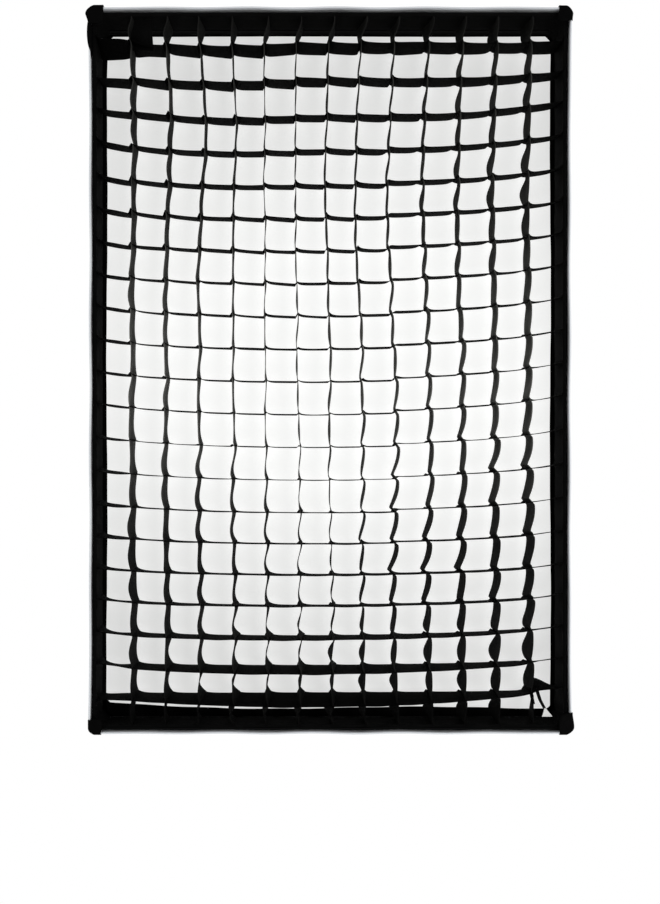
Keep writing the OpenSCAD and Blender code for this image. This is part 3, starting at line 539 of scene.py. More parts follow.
def along_edge(side, section, start, end):
    """Carries a cross-section along one front edge, which waves with the lip, from start to end; each point
    of the section may have an end of its own."""
    reach, half = side_half[side - 1], side_half[side]
    along = np.linspace(start, end, 121).reshape(121, -1)
    wave = slack(side, np.full_like(along, 2.0), along / half, half)
    return on_side(side, reach + section[None, :, 0] + wave, along, front_y - section[None, :, 1])


for side, label, flat_length in ((RIGHT, "right", 0.855), (TOP, "top", 0.555), (LEFT, "left", 0.855),
        (BOTTOM, "bottom", 0.555)):
    run = side_half[side] - binding_end
    binding_sides = [along_edge(side, folded_edge(t), -run, run)[None] for t in (0.0005, 0.0)]
    binding = cloth(f"binding_{label}", *binding_sides, [binding_tape])
    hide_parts("edge_binding")


# The corner pockets, which take the tips of the ribs and hold the front edge square.
# Black leatherette: a wall round the outside of the corner and a cover over its front, sewn to the lip.
# Below the upper left pocket a patch of the same stuff is folded over the edge.
pocket_depth, pocket_rise, pocket_t, pebble_w = 0.036, 0.0024, 0.0006, 0.0011
leatherette = new_finish("leatherette", 0.001, 0.65, specular=0.012)
pebbles = {"Vector": on_piece(leatherette), "Scale": 1 / pebble_w}
pebbles = add(leatherette, "ShaderNodeTexVoronoi", pebbles).outputs["Distance"]
shade(leatherette, spots(leatherette, 0.008), 0.0004, 0.0016)
gloss(leatherette, spots(leatherette, 0.004), 0.5, 0.7)
relief(leatherette, pebbles, 0.0002)


def pocket_outline(t, legs, proud, share):
    """The line of a pocket round the upper right corner, for t from 0 to 1: up the side leg, round the
    corner and along the end leg. It stands off the cloth by a share of proud, which grows along the side leg
    and is less at the corner."""
    side_run, end_run = legs[0] - corner_round, legs[1] - corner_round
    arc = corner_round * np.pi / 2
    d = t * (side_run + arc + end_run)
    turn = np.clip((d - side_run) / corner_round, 0, np.pi / 2)
    rise = proud[0] * np.cos(turn) ** 2 + proud[1] * np.sin(turn) ** 2 - 0.0012 * np.sin(2 * turn)
    off = 0.0001 + share * (pocket_t + smooth(t / 0.45) * np.maximum(rise, 0))
    x = half_w - corner_round * (1 - np.cos(turn)) - np.maximum(d - side_run - arc, 0) + off * np.cos(turn)
    z = half_h - corner_round * (1 - np.sin(turn)) - np.maximum(side_run - d, 0) + off * np.sin(turn)
    return x, z


def pocket_wall(v, t, legs, proud, share):
    """The wall at v from its back edge (0) to the front (1); it swells from the back edge forwards."""
    x, z = pocket_outline(t, legs, proud, share * (0.4 + 0.6 * smooth(v / 0.2)))
    return np.stack(np.broadcast_arrays(x, front_y + pocket_depth * (1 - v), z), -1)


def pocket_cover(v, t, legs, proud, rise):
    """The cover at v from its inner edge (0), which bows inwards, to the outline (1), round at both."""
    x, z = pocket_outline(t, legs, proud, 0.98)
    inward = cloth_t + 0.007 * np.sin(np.pi * t)
    inner_x = half_w - inward - (legs[1] - cloth_t) * t
    inner_z = half_h - inward - (legs[0] - cloth_t) * (1 - t)
    outer_edge = np.sqrt(1 - np.clip((v - 0.7) / 0.3, 0, 1) ** 2)
    inner_edge = np.sqrt(1 - np.clip((0.15 - v) / 0.15, 0, 1) ** 2)
    y = front_y - rise * (0.15 + 0.85 * np.minimum(outer_edge, inner_edge)) + 0 * t
    return np.stack(np.broadcast_arrays(inner_x + (x - inner_x) * v, y, inner_z + (z - inner_z) * v), -1)


pocket_v, pocket_u = np.linspace(0, 1, 25)[:, None], np.linspace(0, 1, 41)[None]
pocket_cut = {"top_right": (1, 1, (0.0155, 0.016), (0.0012, 0.0026)),
    "top_left": (-1, 1, (0.019, 0.0185), (0.0038, 0.0032)),
    "bottom_right": (1, -1, (0.026, 0.0155), (0.0020, 0.0010)),
    "bottom_left": (-1, -1, (0.017, 0.0155), (0.0, 0.0010))}
for corner_name, (x_side, z_side, legs, proud) in pocket_cut.items():
    pocket_sides = []
    for share, rise in ((1, pocket_rise), (0, 0.0009)):
        wall = pocket_wall(pocket_v, pocket_u, legs, proud, share)
        cover = pocket_cover(pocket_v, pocket_u, legs, proud, rise)
        pocket_sides.append(np.stack([wall, cover]) * (x_side, 1, z_side) + (0, 0, axis_z))
    pocket = cloth(f"pocket_{corner_name}", *pocket_sides, [leatherette])
    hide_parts(f"corner_pocket_{corner_name}")

patch_start = 0.016 - half_h
patch_end = patch_start + np.linspace(0.02, 0.046, len(folded_edge(0)))
patch_t = 0.0006, 0.0026
patch_under, patch_over = (along_edge(LEFT, folded_edge(t), patch_start, patch_end) for t in patch_t)
patch_rise = 0.1 + 0.9 * np.sin(np.pi * np.linspace(0, 1, 121)[:, None, None]) ** 0.6
patch_face = patch_under + (patch_over - patch_under) * patch_rise
edge_patch = cloth("edge_patch", patch_face[None], patch_under[None], [leatherette])


# The inner baffle and its four elastic straps, which even out the light.
# A thin white weave; the straps are sewn to its corners and clip to the ribs.
baffle_low, baffle_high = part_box("inner_baffle")
baffle_half = baffle_high.x, baffle_high.z - axis_z
baffle_sag, baffle_ripple, baffle_pull = 0.004, 0.0015, 0.012
white_weave = woven("baffle_weave", 0.8, 0.9, pitch=0.0007, depth=0.0001, roughness=0.8, specular=0.2)
baffle_q, baffle_p = np.linspace(-1, 1, 61)[None], np.linspace(-1, 1, 81)[:, None]
free_q, free_p = 1 - baffle_q ** 2, 1 - baffle_p ** 2
baffle_y = (baffle_low.y + baffle_high.y) / 2 + baffle_sag * free_q * free_p
baffle_y = baffle_y + baffle_ripple * np.sin(9 * baffle_p) * free_q
baffle_x = baffle_half[0] * baffle_q * (1 - baffle_pull * free_p)
baffle_z = baffle_half[1] * baffle_p * (1 - baffle_pull * free_q)
baffle_sides = (points_at(baffle_x, baffle_y + shift, baffle_z)[None] for shift in (-0.0003, 0.0003))
baffle = cloth("baffle_sheet", *baffle_sides, [white_weave])
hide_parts("inner_baffle")

strap_w, strap_inset, strap_back = 0.014, 0.018, 0.0011
elastic = woven("strap_elastic", 0.66, 0.82, pitch=0.0014, depth=0.0003, roughness=0.75, specular=0.2)
strap_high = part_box("baffle_straps")[1]
strap_y = strap_high.y - strap_back
strap_start = np.array([baffle_half[0] - strap_inset, strap_y, baffle_half[1] - strap_inset])
strap_end = np.array([strap_high.x - 0.004, strap_y, strap_high.z - axis_z - 0.006])
strap_side = np.cross(unit(strap_end - strap_start), (0, 1, 0))
strap_v = np.linspace(0, 1, 31)[:, None, None]
strap_across = np.linspace(-strap_w / 2, strap_w / 2, 7)[None, :, None]
strap_line = strap_start + (strap_end - strap_start) * strap_v + strap_side * strap_across
strap_signs = np.array([(x, 1, z) for x in (-1, 1) for z in (-1, 1)])[:, None, None]
strap_sides = ((strap_line + (0, shift, 0)) * strap_signs + (0, 0, axis_z) for shift in (-0.0005, 0.0005))
straps = cloth("elastic_straps", *strap_sides, [elastic])
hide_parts("baffle_straps")


# The hook and loop tapes inside the lip, one pair for the diffuser and one pair for the grid.
# Black nylon tape: the loop side is sewn to the lip, and the hook side to the piece that it holds.
nap = new_finish("tape_nap", 0.003, 0.85, specular=0.03)
shade(nap, spots(nap, 0.0012, 4), 0.0015, 0.005)
relief(nap, spots(nap, 0.0008, 3), 0.0005)
tape_w, tape_gap = 0.024, 0.010


def lip_tape(side, reach, low, high, thickness):
    """One straight tape on the inside of the lip, which waves with it."""
    half = side_half[side] - cloth_t - tape_gap
    along, depth = np.linspace(-half, half, 91)[:, None], np.linspace(low, high, 7)[None]
    ahead = 2 - (depth - front_y) / lip_depth
    wave = slack(side, ahead, along / (half + tape_gap), half)
    return on_side(side, reach - thickness + wave, along, depth)


for node_name in ("diffuser_loop_tape", "diffuser_hook_tape", "grid_loop_tape", "grid_hook_tape"):
    tape_low, tape_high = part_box(node_name)
    for label, reach, pair, lips in (("sides", tape_high.x, (RIGHT, LEFT), ["panel_left", "panel_right"]),
            ("ends", tape_high.z - axis_z, (TOP, BOTTOM), ["panel_top", "panel_bottom"])):
        faces = [np.stack([lip_tape(side, reach, tape_low.y, tape_high.y, t) for side in pair])
            for t in (0.0013, 0.0002)]
        tape = cloth(node_name.replace("tape", label), *faces, [nap])
        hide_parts(node_name)


# The front diffuser, held by its hem on the tapes behind the grid.
# White translucent weave with a narrow black hem; its glow is painted light, an emission brightest in the
# middle that stands in for the flash behind it.
diffuser_low, diffuser_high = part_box("front_diffuser")
diffuser_half = diffuser_high.x, diffuser_high.z - axis_z
corner_cut = 0.009
diffuser_white = woven("diffuser_weave_painted_glow", 0.4, 0.5, pitch=0.0006, depth=0.0001, roughness=0.85, specular=0.1)
# Painted light: the diffuser glows by emission in its finish, strongest in the middle and weaker towards its
# edges.
diffuser_values = diffuser_white.node_tree.nodes["Principled BSDF"].inputs
diffuser_values["Emission Color"].default_value = (0.995, 1, 0.99, 1)
painted_glow_place = {"Vector": on_piece(diffuser_white), "Location": (-0.015, 0, -axis_z - 0.01), "Scale": (0.75, 0, 1)}
painted_glow_place = add(diffuser_white, "ShaderNodeMapping", painted_glow_place).outputs[0]
off_middle = add(diffuser_white, "ShaderNodeVectorMath", {0: painted_glow_place}, operation="LENGTH").outputs["Value"]
feed(diffuser_white, "Emission Strength", between(diffuser_white, off_middle, 0.885, 0.65, 0.15, 0.41))

sheet_q, sheet_p = np.linspace(-1, 1, 81)[None], np.linspace(-1, 1, 121)[:, None]
sheet_z = sheet_p * diffuser_half[1]
sheet_x = sheet_q * (diffuser_half[0] - np.maximum(np.abs(sheet_z) - (diffuser_half[1] - corner_cut), 0))
billow = 0.003 * (1 - sheet_q ** 2) * (1 - (sheet_z / diffuser_half[1]) ** 2)
diffuser_sides = (points_at(sheet_x, diffuser_low.y + 0.0005 + shift + billow, sheet_z)[None]
    for shift in (-0.0003, 0.0003))
diffuser = cloth("diffuser_sheet", *diffuser_sides, [diffuser_white])
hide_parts("front_diffuser")

hem_black = woven("hem_black", 0.002, 0.006, pitch=0.0012, depth=0.0002, roughness=0.8, specular=0.03)
hem_w = {RIGHT: 0.005, TOP: 0.0022, LEFT: 0.0055, BOTTOM: 0.0113}
hem_slant = {RIGHT: 0, TOP: 0, LEFT: 0.0025, BOTTOM: 0.007}
hem_cut = 0.006
hem_v = np.linspace(0, 1, 5)[None]


def hem_strip(side, lift):
    """A strip of hem along one edge of the diffuser. Its inner edge wanders by a sixth of its width, and the
    left and bottom ones are wider by hem_slant where they start."""
    reach, half = diffuser_half if side % 2 == 0 else diffuser_half[::-1]
    along = np.linspace(-half, half, 121)[:, None]
    width = hem_w[side] * (1 + 0.13 * np.sin(16 * along + side - 3.29) + 0.03 * np.sin(71 * along))
    width = width + hem_slant[side] * np.exp(-(half + along) / 0.06)
    outer, inner = (reach - np.maximum(np.abs(along) - (half - cut), 0) for cut in (hem_cut, corner_cut))
    return on_side(side, outer + (inner - width - outer) * hem_v, along, diffuser_low.y - lift)


hem_sides = (np.stack([hem_strip(side, lift) for side in range(4)]) for lift in (0.0012, 0.0004))
hem = cloth("diffuser_hem", *hem_sides, [hem_black])
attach(hem, "softbox")


# The grid's border band, which carries the ends of all the strips and grips the tape with its back.
# Doubled black cloth as deep as the grid; its front edge is turned out over the tape, up to the lip, and a
# fold of it closes each cut corner behind the grid.
border_low, border_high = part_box("grid_border")
grid_front, grid_back = border_low.y, border_high.y
grid_half = border_high.x, border_high.z - axis_z
border_t, edge_flare, sewn_pull, corner_share = 0.0015, 0.0025, 0.0012, 0.586
columns, rows = 14, 22
cell_w, cell_h = 2 * (grid_half[0] - border_t) / columns, 2 * (grid_half[1] - border_t) / rows
border_black = new_finish("border_black", 0.002, 0.8, specular=0.01)
shade(border_black, spots(border_black, 0.02, 4), 0.0005, 0.0035)
relief(border_black, weave(border_black, 0.001), 0.0002)


def taken_in(x, z):
    """Where x comes to lie as the side lips are drawn in: all of the grid shrinks towards its middle."""
    reach = np.where(x < 0, drawn_in(LEFT, z / half_h), drawn_in(RIGHT, z / half_h))
    return x * (1 - reach / grid_half[0])


def border_outline(offset, count=90):
    """The closed outline of the border moved out by offset: eight straight runs of count steps each. The cut
    corners grow by corner_share of it, which is 2 less the root of 2."""
    x, z = grid_half[0] + offset, grid_half[1] + offset
    c = corner_cut + corner_share * offset
    corners = np.array([(x, c - z), (x, z - c), (x - c, z), (c - x, z)])
    corners = np.concatenate([corners, -corners])
    t = np.linspace(0, 1, count + 1)[:-1, None]
    return (corners[:, None] + (np.roll(corners, -1, 0) - corners)[:, None] * t).reshape(-1, 2)


def sewn_at(place, pitch, across, half):
    """1 where strips of that pitch end on the two sides at half across, and 0 between them."""
    return np.exp(-(np.sin(np.pi * place / pitch) / 0.25) ** 2) * (np.abs(across) > half - 0.005)


def border_side(offset, share):
    """One side of the band, offset from its outer outline. The front edge flares out over the first
    millimetres, at the bottom it turns in, and the band is drawn in a little where strips are sewn to it."""
    step = 0.001
    base, out = border_outline(offset), border_outline(offset + step) - border_outline(offset)
    x, z = base.T
    flat_end = grid_half[1] - corner_cut
    free = np.select([z > flat_end, z < -flat_end], [1, -1], 0.9)[:, None]
    flare = edge_flare * free * (1 - smooth(share / 0.03))
    sewn = sewn_at(x, cell_w, z, grid_half[1]) + sewn_at(z, cell_h, x, grid_half[0])
    move = (flare - sewn_pull * sewn[:, None] * np.sin(np.pi * np.clip(share, 0.05, 1))) / step
    xz = base[:, None] + out[:, None] * move[..., None]
    y = grid_front + (grid_back - grid_front) * share
    return points_at(taken_in(xz[..., 0], xz[..., 1]), y, xz[..., 1])[None]


border_share = np.concatenate([np.linspace(0, 0.04, 6), np.linspace(0.04, 1, 13)[1:]])[None]
border_sides = (border_side(offset, border_share) for offset in (-border_t, 0))
border = cloth("border_band", *border_sides, [border_black], band=True)
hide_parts("grid_border")

gusset_u, gusset_v = np.linspace(0, 1, 9)[:, None], np.linspace(0, 1, 7)[None]
gusset_y = grid_back - 0.003 + (diffuser_low.y - grid_back + 0.0015) * gusset_v


def gusset(x_side, z_side, back):
    """A fold of the band across one cut corner, from the grid back to the diffuser; it bows by 1 mm to the
    corner."""
    off = 0.0006 * back - border_t + 0.001 * np.sin(np.pi * gusset_u)
    x = grid_half[0] - corner_cut * gusset_u + off
    z = grid_half[1] - corner_cut * (1 - gusset_u) + off
    return points_at(x_side * taken_in(x, z), gusset_y, z_side * z)


gusset_sides = [np.stack([gusset(x, z, back) for x in (-1, 1) for z in (-1, 1)]) for back in (0, 1)]
gussets = cloth("corner_gussets", *gusset_sides, [border_black])


# The grid's strips: 13 upright and 21 level ones, slotted into each other and sewn to the border.
# Black woven tape as deep as the border. The net has stretched with use: the rows hang low in the middle,
# the uprights lean out of line, and both buckle between the crossings.
strip_t, strip_pitch = 0.001, 0.0011
per_cell, hump_p, saw_rise, saw_fall = 16, 13.27, 0.76, 0.24
depth_share = np.linspace(0, 1, 5)[None, None]
strip_y = grid_front + (grid_back - grid_front) * depth_share
chance = np.random.default_rng(11)


def strip_finish(name, dark, light, low, high):
    """Matt woven tape between a dark and a light shade in patches, with painted light and shade by height:
    lightest about the middle, with a share of that (low, high) in the lower and upper half, and darkest at
    the grid's top and bottom edge."""
    finish = new_finish(name, light, 0.8, specular=0.01)
    height = add(finish, "ShaderNodeSeparateXYZ", {0: on_piece(finish)}).outputs["Z"]
    patches_and_painted_light = spots(finish, 0.03, 3)
    # Painted light and shade: by height, the patches fade to the dark shade at the grid's top and bottom
    # edges and stay lightest about its middle.
    ends = (0, 1, -0.42, -0.36), (low, 1, -0.22, -0.03), (1, high, 0.03, 0.2), (1, 0.3, 0.39, 0.42)
    for first, last, start, end in ends:
        share = between(finish, height, first, last, axis_z + start, axis_z + end)
        patches_and_painted_light = worked_out(finish, "MULTIPLY", patches_and_painted_light, share)
    shade(finish, patches_and_painted_light, dark, (light, light, 0.93 * light))
    gloss(finish, weave(finish, strip_pitch), 0.85, 0.65)
    relief(finish, weave(finish, strip_pitch), 0.0002)
    return finish


def rises(x, start, width):
    """0 as far as start, then a smooth rise to 1 that is width long."""
    return smooth((x - start) / width)


def falls(x, end, width):
    """1 at first, then a smooth fall that is width long and comes to 0 at end."""
    return smooth((end - x) / width)


def knots(at, places, heights):
    """A line through a few known heights, given in millimetres."""
    return np.interp(at, places, heights) * 0.001


def row_sag(p, row):
    """How far a row hangs below its place, p cells from the left border. Its middle drops more with each row
    as far as the fifteenth, it rises to both sides as a parabola, its ends are held by the border, and right
    of the ninth upright it is caught 3 mm higher. The first and last rows hang lower at the left."""
    x = cell_w * (p - columns / 2)
    dropped = knots(row, (0, 1, 2, 3, 5, 8, 11, 15, 18, 20, 21, 22),
        (-2, -6.3, -3.2, 2.2, 6.7, 8.4, 11.8, 16.2, 13.3, 13.7, 11.5, 2))
    middle = np.interp(row, (8, 15, 19), (-0.05, -0.017, -0.05))
    lift = np.interp(row, (1, 3, 12, 17), (0, 0.10, 0.155, 0.09)) * (x - middle) ** 2
    held = 0.0031 * np.exp(-p / 0.9) + np.interp(row, (1, 5), (0.002, 0.0049)) * np.exp((p - columns) / 0.9)
    caught = 0.003 * rises(p, 8.97, 0.12) * np.interp(row, (2, 4, 15, 17), (0, 1, 1, 0))
    ripple = 0.0025 * np.cos(2 * np.pi * (p - 3.5) / 7) * np.exp(-((row - 2.5) / 2.5) ** 2)
    last_left = 0.006 * np.exp(-p / 0.5) * np.interp(row, (20, 21, 22), (0, 1, 0))
    first_left = np.exp(-p) * knots(row, (0.5, 1, 2, 3, 4), (0, 4, 8, 2, 0))
    first_right = np.exp(-((p - 10.3) / 1.7) ** 2) * knots(row, (0, 1, 2, 3, 4), (0, 4, 3, 1, 0))
    return dropped - lift - held - caught + ripple + last_left + first_left - first_right


def front_droop(p, row):
    """How far a row's front edge hangs below its back edge: 5 mm in the upper rows, none at eye level, and
    more than that in the middle of the last rows. The ends of the lower rows lie edge-on."""
    upper = knots(row, (0, 1, 2, 4, 8, 13, 16, 18, 22), (0, 2, 4.4, 5.3, 4.3, 0.2, -1.9, -3.1, -2.8))
    last_rows = knots(row, (18, 19, 20, 21, 22), (0, 2.2, 6.5, 12, 0)) * (1 - 1.3 * ((p - 6.4) / 7.2) ** 2)
    at_left = knots(row, (3, 4, 12, 13, 16, 17, 20, 21), (0, -2, -2, 2, 2.5, 0, -4.5, 0))
    at_right = knots(row, (13, 16, 20, 21), (0, -2.5, -4.5, 0))
    return upper + last_rows + (1 - rises(p, 0.5, 0.7)) * at_left + rises(p, 12.7, 0.7) * at_right


def column_wander(k, row):
    """How far an upright leaves its line: pushed to the right at the upper left, to the left at the upper
    right and, less far, at the lower right, and a little to the right in the middle."""
    upper_left = 0.0094 * np.exp(-((k - 2.76) / 1.58) ** 2 - ((row - 3.2) / 2.4) ** 2)
    upper_right = 0.0113 * np.exp(-((k - 9.3) / 3.2) ** 2 - ((row - 5.3) / 3.9) ** 2)
    lower_right = 0.005 * np.exp(-((k - 9.7) / 1.5) ** 2 - ((row - 17.5) / 2.5) ** 2)
    middle = 0.0033 * np.exp(-((k - 5.1) / 2.6) ** 2) * np.clip(row / 6, 0, 1)
    return upper_left - upper_right - lower_right + middle


def each_cell(low, high, cells):
    """One random number for each cell of each strip, over all its samples; the last cell has one more."""
    numbers = np.repeat(chance.uniform(low, high, cells), per_cell, 1)
    return np.concatenate([numbers, numbers[:, -1:]], 1)[..., None]


def level_points():
    """The middle lines of the level strips, p cells from the left border and t within a cell. Each lies at
    its row's place less the row's sag, tilted by its droop. Its edges rise in a fillet at the crossings and
    step from cell to cell in the upper rows, and the last row humps up over the ties."""
    cells = rows - 1, columns
    row = np.arange(1, rows)[:, None, None]
    p = (np.arange(columns * per_cell + 1) / per_cell)[None, :, None]
    t = p % 1
    across, down = p / columns, row / rows
    lower_left = rises(down, 0.62, 0.22) * (1 - 0.6 * across)
    lower_right = rises(down, 0.6, 0.2) * rises(across, 0.5, 0.3)
    left_rise = 0.0026 - 0.0022 * lower_right + 0.0042 * lower_left
    left_rise = left_rise * np.exp(-t / (0.08 + 0.07 * lower_left))
    right_rise = 0.0036 * rises(across, 0.4, 0.3) * falls(down, 0.5, 0.2) * np.exp(-(1 - t) / 0.09)
    back = left_rise * each_cell(0.6, 1.4, cells) + right_rise * each_cell(0.2, 1.5, cells)
    in_top = falls(row, 4.5, 3.5)
    back = back + in_top * 0.0013 * each_cell(-1, 1, cells)
    back = back + in_top * 0.0026 * (t - 0.5) * each_cell(-1, 1, cells)
    front = 0.0036 * np.exp(-t / 0.06) * falls(row, 15, 4) * each_cell(0.3, 1.4, cells)
    front = front - 0.0006 * np.sin(np.pi * t) * each_cell(-0.4, 1.4, cells)
    left_end = (row == 1) * (1 - rises(p, 0.6, 0.9))
    tilt = front_droop(p, row) * (depth_share - 0.5) + left_end * (0.006 - 0.012 * depth_share)
    z = cell_h * (rows / 2 - row) - row_sag(p, row) + tilt
    stepped = 0.003 * (0.5 - t) * falls(row, 11, 3) * falls(p, 9.5, 1.5)
    z = z + stepped * each_cell(0, 1.3, cells)
    z = z + front + (back - front) * depth_share
    hump = np.exp(-((p - hump_p) / np.where(p < hump_p, 0.2, 0.5)) ** 2)
    z = z + (row == rows - 1) * hump * (0.003 + 0.012 * depth_share)
    z = np.clip(z, 0.0025 - grid_half[1], grid_half[1] - 0.0025)
    wander = np.sin(np.pi * p / columns) ** 0.3 * column_wander(p, row)
    return points_at(taken_in(cell_w * (p - columns / 2) + wander, z), strip_y, z)


def upright_points():
    """The middle lines of the upright strips, p cells from the top border and t within a cell. Each lies at
    its column's place plus its wander and is staggered at the crossings. Those on the right zigzag from cell
    to cell, and those on the left hook round at the bottom of each cell. The two edges bow on their own,
    most at the upper and lower right, and the last strip's lower end is turned edge-on."""
    cells = columns - 1, rows
    k = np.arange(1, columns)[:, None, None]
    p = (np.arange(rows * per_cell + 1) / per_cell)[None, :, None]
    t = p % 1
    on_right = rises(k, 6.5, 3)
    on_left = 1 - on_right
    lower = rises(p, 10, 5) * falls(p, 19, 1.5)
    last = rises(p, 18.3, 0.8) * rises(k, -2, 9)
    zigzag = on_right * (0.0014 + 0.0016 * rises(p, 6, 3) + 0.0034 * lower) * each_cell(0.7, 1.7, cells)
    hook = 0.0030 * rises(p, 12, 3) * on_left * rises(k, 1.5, 2) * each_cell(0.5, 1.4, cells)
    front_bow = 0.0012 * (1 - 0.7 * last) * each_cell(0.2, 1.5, cells)
    back_bow = 0.0014 + 0.0055 * rises(k, 8, 5) * falls(p, 9, 4) + 0.0065 * last
    edge_on = (k == columns - 1) * smooth((p - rows + 1.1) / 0.3)
    back_bow = back_bow * each_cell(0.3, 1.5, cells) * (1 - edge_on)
    left_bow = 0.0034 * (1 - rises(k, 1, 3.5)) * each_cell(-0.2, 1.4, cells)
    foot = (0.0014 + 0.0022 * rises(p, 12, 4)) * np.exp((t - 1) / 0.1)
    foot = foot * each_cell(0.4, 1.5, cells) * (1 - on_right * last)
    saw_t = (t - 0.1) % 1
    saw = np.where(saw_t < saw_rise, (saw_t / saw_rise) ** 1.4, falls(saw_t, 1, saw_fall))
    saw = saw - 0.25 * np.sin(np.pi * saw_t)
    bulge = np.sin(np.pi * t ** 1.15) ** 1.2
    lean = 0.0012 - 0.0017 * on_left * falls(p, 15, 3) - 0.0017 * on_right * rises(p, 13, 3)
    lean = lean + 0.0006 * on_right * falls(p, 13, 3)
    crossing = chance.normal(0, 0.0012, (columns - 1, rows + 2))
    crossing = crossing * np.sin(np.pi * np.arange(rows + 2) / rows).clip(0)
    cell_of = p[0, :, 0].astype(int)
    stagger = crossing[:, cell_of] + np.diff(crossing)[:, cell_of] * smooth(t[0, :, 0])
    sewn_top, sewn_bottom = 1 - smooth(p / 0.9), smooth((p - rows + 0.9) / 0.9)
    sewn_aside = 0.005 * sewn_top * each_cell(0.2, 1.6, cells) + 0.004 * sewn_bottom
    front = sewn_aside - lean / 2 - front_bow * (saw - 0.3) - left_bow * (bulge - 0.4) + foot * on_right
    back = lean / 2 - back_bow * (bulge - 0.5) + foot * on_left + 0.008 * edge_on
    back = back + np.where(k < 7.5, 0.0075, -0.0065) * sewn_top
    x = cell_w * (k - columns / 2) + stagger[..., None]
    x = x - zigzag * (saw - 0.2) - hook * (np.sin(np.pi * t ** 1.5) - 0.4)
    x = x + front + (back - front) * depth_share
    pushed = 0.0034 * rises(k, 8.5, 1.5) + 0.0025 * on_left * rises(p, 15, 4)
    x = x + smooth(p / 1.2) * falls(p, rows, 1.2) * (column_wander(k, p) + pushed)
    sagged = row_sag(k, p) - front_droop(k, p) * (depth_share - 0.5)
    z = cell_h * (rows / 2 - p) - sagged * smooth(p / 0.8) * falls(p, rows, 0.8)
    x = taken_in(x, z)
    return points_at(x, strip_y, np.clip(z, 0.0016 - grid_half[1], grid_half[1] - 0.0016))


level_line = level_points()
level_sides = [level_line + (0, 0, shift) for shift in (strip_t / 2, -strip_t / 2)]
# Painted shade: the level strips take a darker copy of the same tape than the uprights, for the light that
# misses their faces.
level_painted_shade = strip_finish("level_tape_painted_shade", 0.0004, 0.0037, 0.6, 0.6)
level_strips = cloth("level_strips", *level_sides, [level_painted_shade])
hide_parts("grid_level_strips")

upright_line = upright_points()
upright_sides = [upright_line + (shift, 0, 0) for shift in (strip_t / 2, -strip_t / 2)]
# Painted light: the uprights take a lighter copy of the same tape, up to a pale grey in the middle of the
# grid, for the light and glare they catch.
upright_painted_light = strip_finish("upright_tape_painted_light", 0.002, 0.15, 0.09, 0.3)
upright_strips = cloth("upright_strips", *upright_sides, [upright_painted_light])
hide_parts("grid_upright_strips")


# The loose ends of the grid: a fold at the first upright's top, two ties and a blank tab at the lower right.
# Scraps of the grid's tape, caught in the same seams; the tab is pale cloth.
loose_v, loose_w = np.linspace(0, 1, 17)[:, None], np.linspace(-0.5, 0.5, 7)[None]


def ribbon(places, widths, depth, curl, thickness):
    """A flat ribbon that faces forwards: its middle runs through places (x, z from the axis) and its width
    through widths; it lies at a depth and curls by curl between its ends."""
    x, z = (np.interp(loose_v, np.linspace(0, 1, len(places)), line) for line in zip(*places))
    width = np.interp(loose_v, np.linspace(0, 1, len(widths)), widths)
    return points_at(x + width * loose_w, depth + curl * np.sin(np.pi * loose_v) + thickness, z)


fold_places = (-0.2372, 0.4425), (-0.2372, 0.425), (-0.2367, 0.404)
fold_widths = 0.026, 0.028, 0.03
fold_sides = (ribbon(fold_places, fold_widths, grid_front + 0.012, 0.004, t)[None] for t in (0, strip_t))
turned_fold = cloth("turned_fold", *fold_sides, [border_black])

tie_places = (((0.2505, -0.396), (0.2525, -0.406), (0.2543, -0.4155)),
    ((0.258, -0.3965), (0.263, -0.411), (0.2685, -0.4215)))
tie_widths = 0.0045, 0.004
tie_sides = [np.stack([ribbon(line, tie_widths, grid_front + 0.003, 0.002, t) for line in tie_places])
    for t in (0, 0.0008)]
grid_ties = cloth("grid_ties", *tie_sides, [border_black])

tab_places, tab_widths = ((0.2685, -0.4205), (0.2712, -0.431)), (0.0016, 0.0134)
pale_cloth = woven("pale_cloth", (0.45, 0.45, 0.44), (0.66, 0.66, 0.65), pitch=0.0008, depth=0.0001,
    roughness=0.8, specular=0.1)
tab_sides = (ribbon(tab_places, tab_widths, grid_front + 0.002, -0.001, t)[None] for t in (0, 0.0006))
blank_tab = cloth("blank_tab", *tab_sides, [pale_cloth])


# The floor under the softbox, the light and the camera.
# A pale round floor that fades out, soft light from the front, the sides and behind, and a white surround.
floor_z, floor_r, floor_steps = cad_box[0][2] - 0.75, 1.25, 96
floor_finish = new_finish("pale_floor", 0.82, 0.9, specular=0.1)
floor_place = {"Vector": on_piece(floor_finish), "Scale": (1 / floor_r, 1 / floor_r, 0)}
floor_place = {"Vector": add(floor_finish, "ShaderNodeMapping", floor_place).outputs[0]}
fading = add(floor_finish, "ShaderNodeTexGradient", floor_place, gradient_type="SPHERICAL").outputs["Fac"]
feed(floor_finish, "Alpha", between(floor_finish, fading, 0, 1, 0.02, 0.35))
floor_a = np.linspace(0, 2 * np.pi, floor_steps + 1)[:-1, None]
floor_out = floor_r * np.linspace(0, 1, 9)[None]
floor_points = np.broadcast_arrays(floor_out * np.cos(floor_a), floor_out * np.sin(floor_a) - 0.25, floor_z)
floor_points = np.stack(floor_points, -1).reshape(-1, 3)
ring = np.arange(floor_steps * 9).reshape(floor_steps, 9)
ring = np.concatenate([ring, ring[:1]])
floor_quads = np.stack([ring[:-1, 1:-1], ring[:-1, 2:], ring[1:, 2:], ring[1:, 1:-1]], -1).reshape(-1, 4)
floor_mesh = bpy.data.meshes.new("floor")
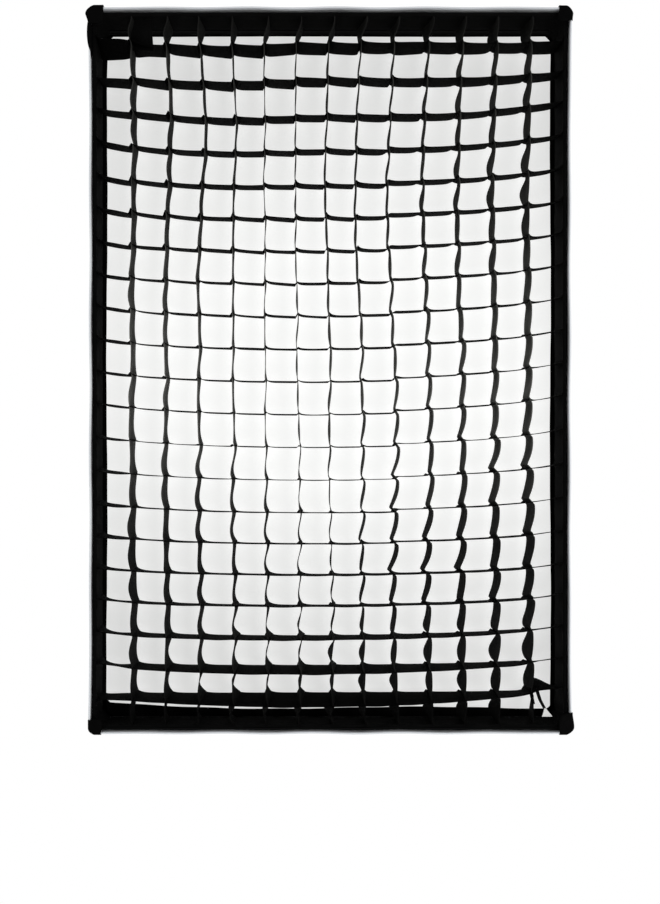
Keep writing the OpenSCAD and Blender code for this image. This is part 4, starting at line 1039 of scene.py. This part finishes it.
floor_mesh.from_pydata(floor_points.tolist(), [], floor_quads.tolist() + [ring[:-1, 1].tolist()])
floor_mesh.materials.append(floor_finish)
floor = bpy.data.objects.new("floor", floor_mesh)
bpy.context.scene.collection.objects.link(floor)

world = bpy.data.worlds.new("white_surround")
world.use_nodes = True
bpy.context.scene.world = world
rays = add(world, "ShaderNodeLightPath", {}).outputs
seen = worked_out(world, "MAXIMUM", rays["Is Camera Ray"], rays["Is Glossy Ray"])
seen = worked_out(world, "MAXIMUM", seen, rays["Is Transmission Ray"])
surround = world.node_tree.nodes["Background"]
surround.inputs["Color"].default_value = (1, 1, 1, 1)
world.node_tree.links.new(between(world, seen, 0.65, 1.0, 0, 1), surround.inputs["Strength"])


def soft_light(name, place, size, power):
    """A square area light at a place, turned to the middle of the softbox."""
    light = bpy.data.lights.new(name, "AREA")
    light.size = size
    light.energy = power
    holder = bpy.data.objects.new(name, light)
    bpy.context.scene.collection.objects.link(holder)
    holder.location = place
    way = Vector((0, -0.3, axis_z)) - Vector(place)
    holder.rotation_euler = way.to_track_quat("-Z", "Y").to_euler()


soft_light("front_light", (-1.9, -2.5, 1.1), 1.8, 22)
soft_light("side_light", (2.2, -0.8, 0.8), 1.5, 14)
soft_light("low_light", (1.0, -2.4, -0.6), 1.4, 34)
soft_light("back_light", (-1.0, 2.2, 1.6), 1.6, 18)

image_rows, shift_across, shift_up = 904, 37, 18
camera_aside, camera_away, camera_below = 0.0462, 1.55, 0.1231
camera_data = bpy.data.cameras.new("camera")
camera_data.lens, camera_data.sensor_width = 49.76, 36
camera_data.shift_x, camera_data.shift_y = shift_across / image_rows, shift_up / image_rows
camera_data.clip_start, camera_data.clip_end = 0.05, 50
camera = bpy.data.objects.new("camera", camera_data)
camera.location = (-camera_aside, front_y - camera_away, axis_z - camera_below)
camera.rotation_euler = (np.pi / 2, 0, 0)
bpy.context.scene.collection.objects.link(camera)
bpy.context.scene.camera = camera
bpy.context.scene.view_settings.view_transform = "Standard"
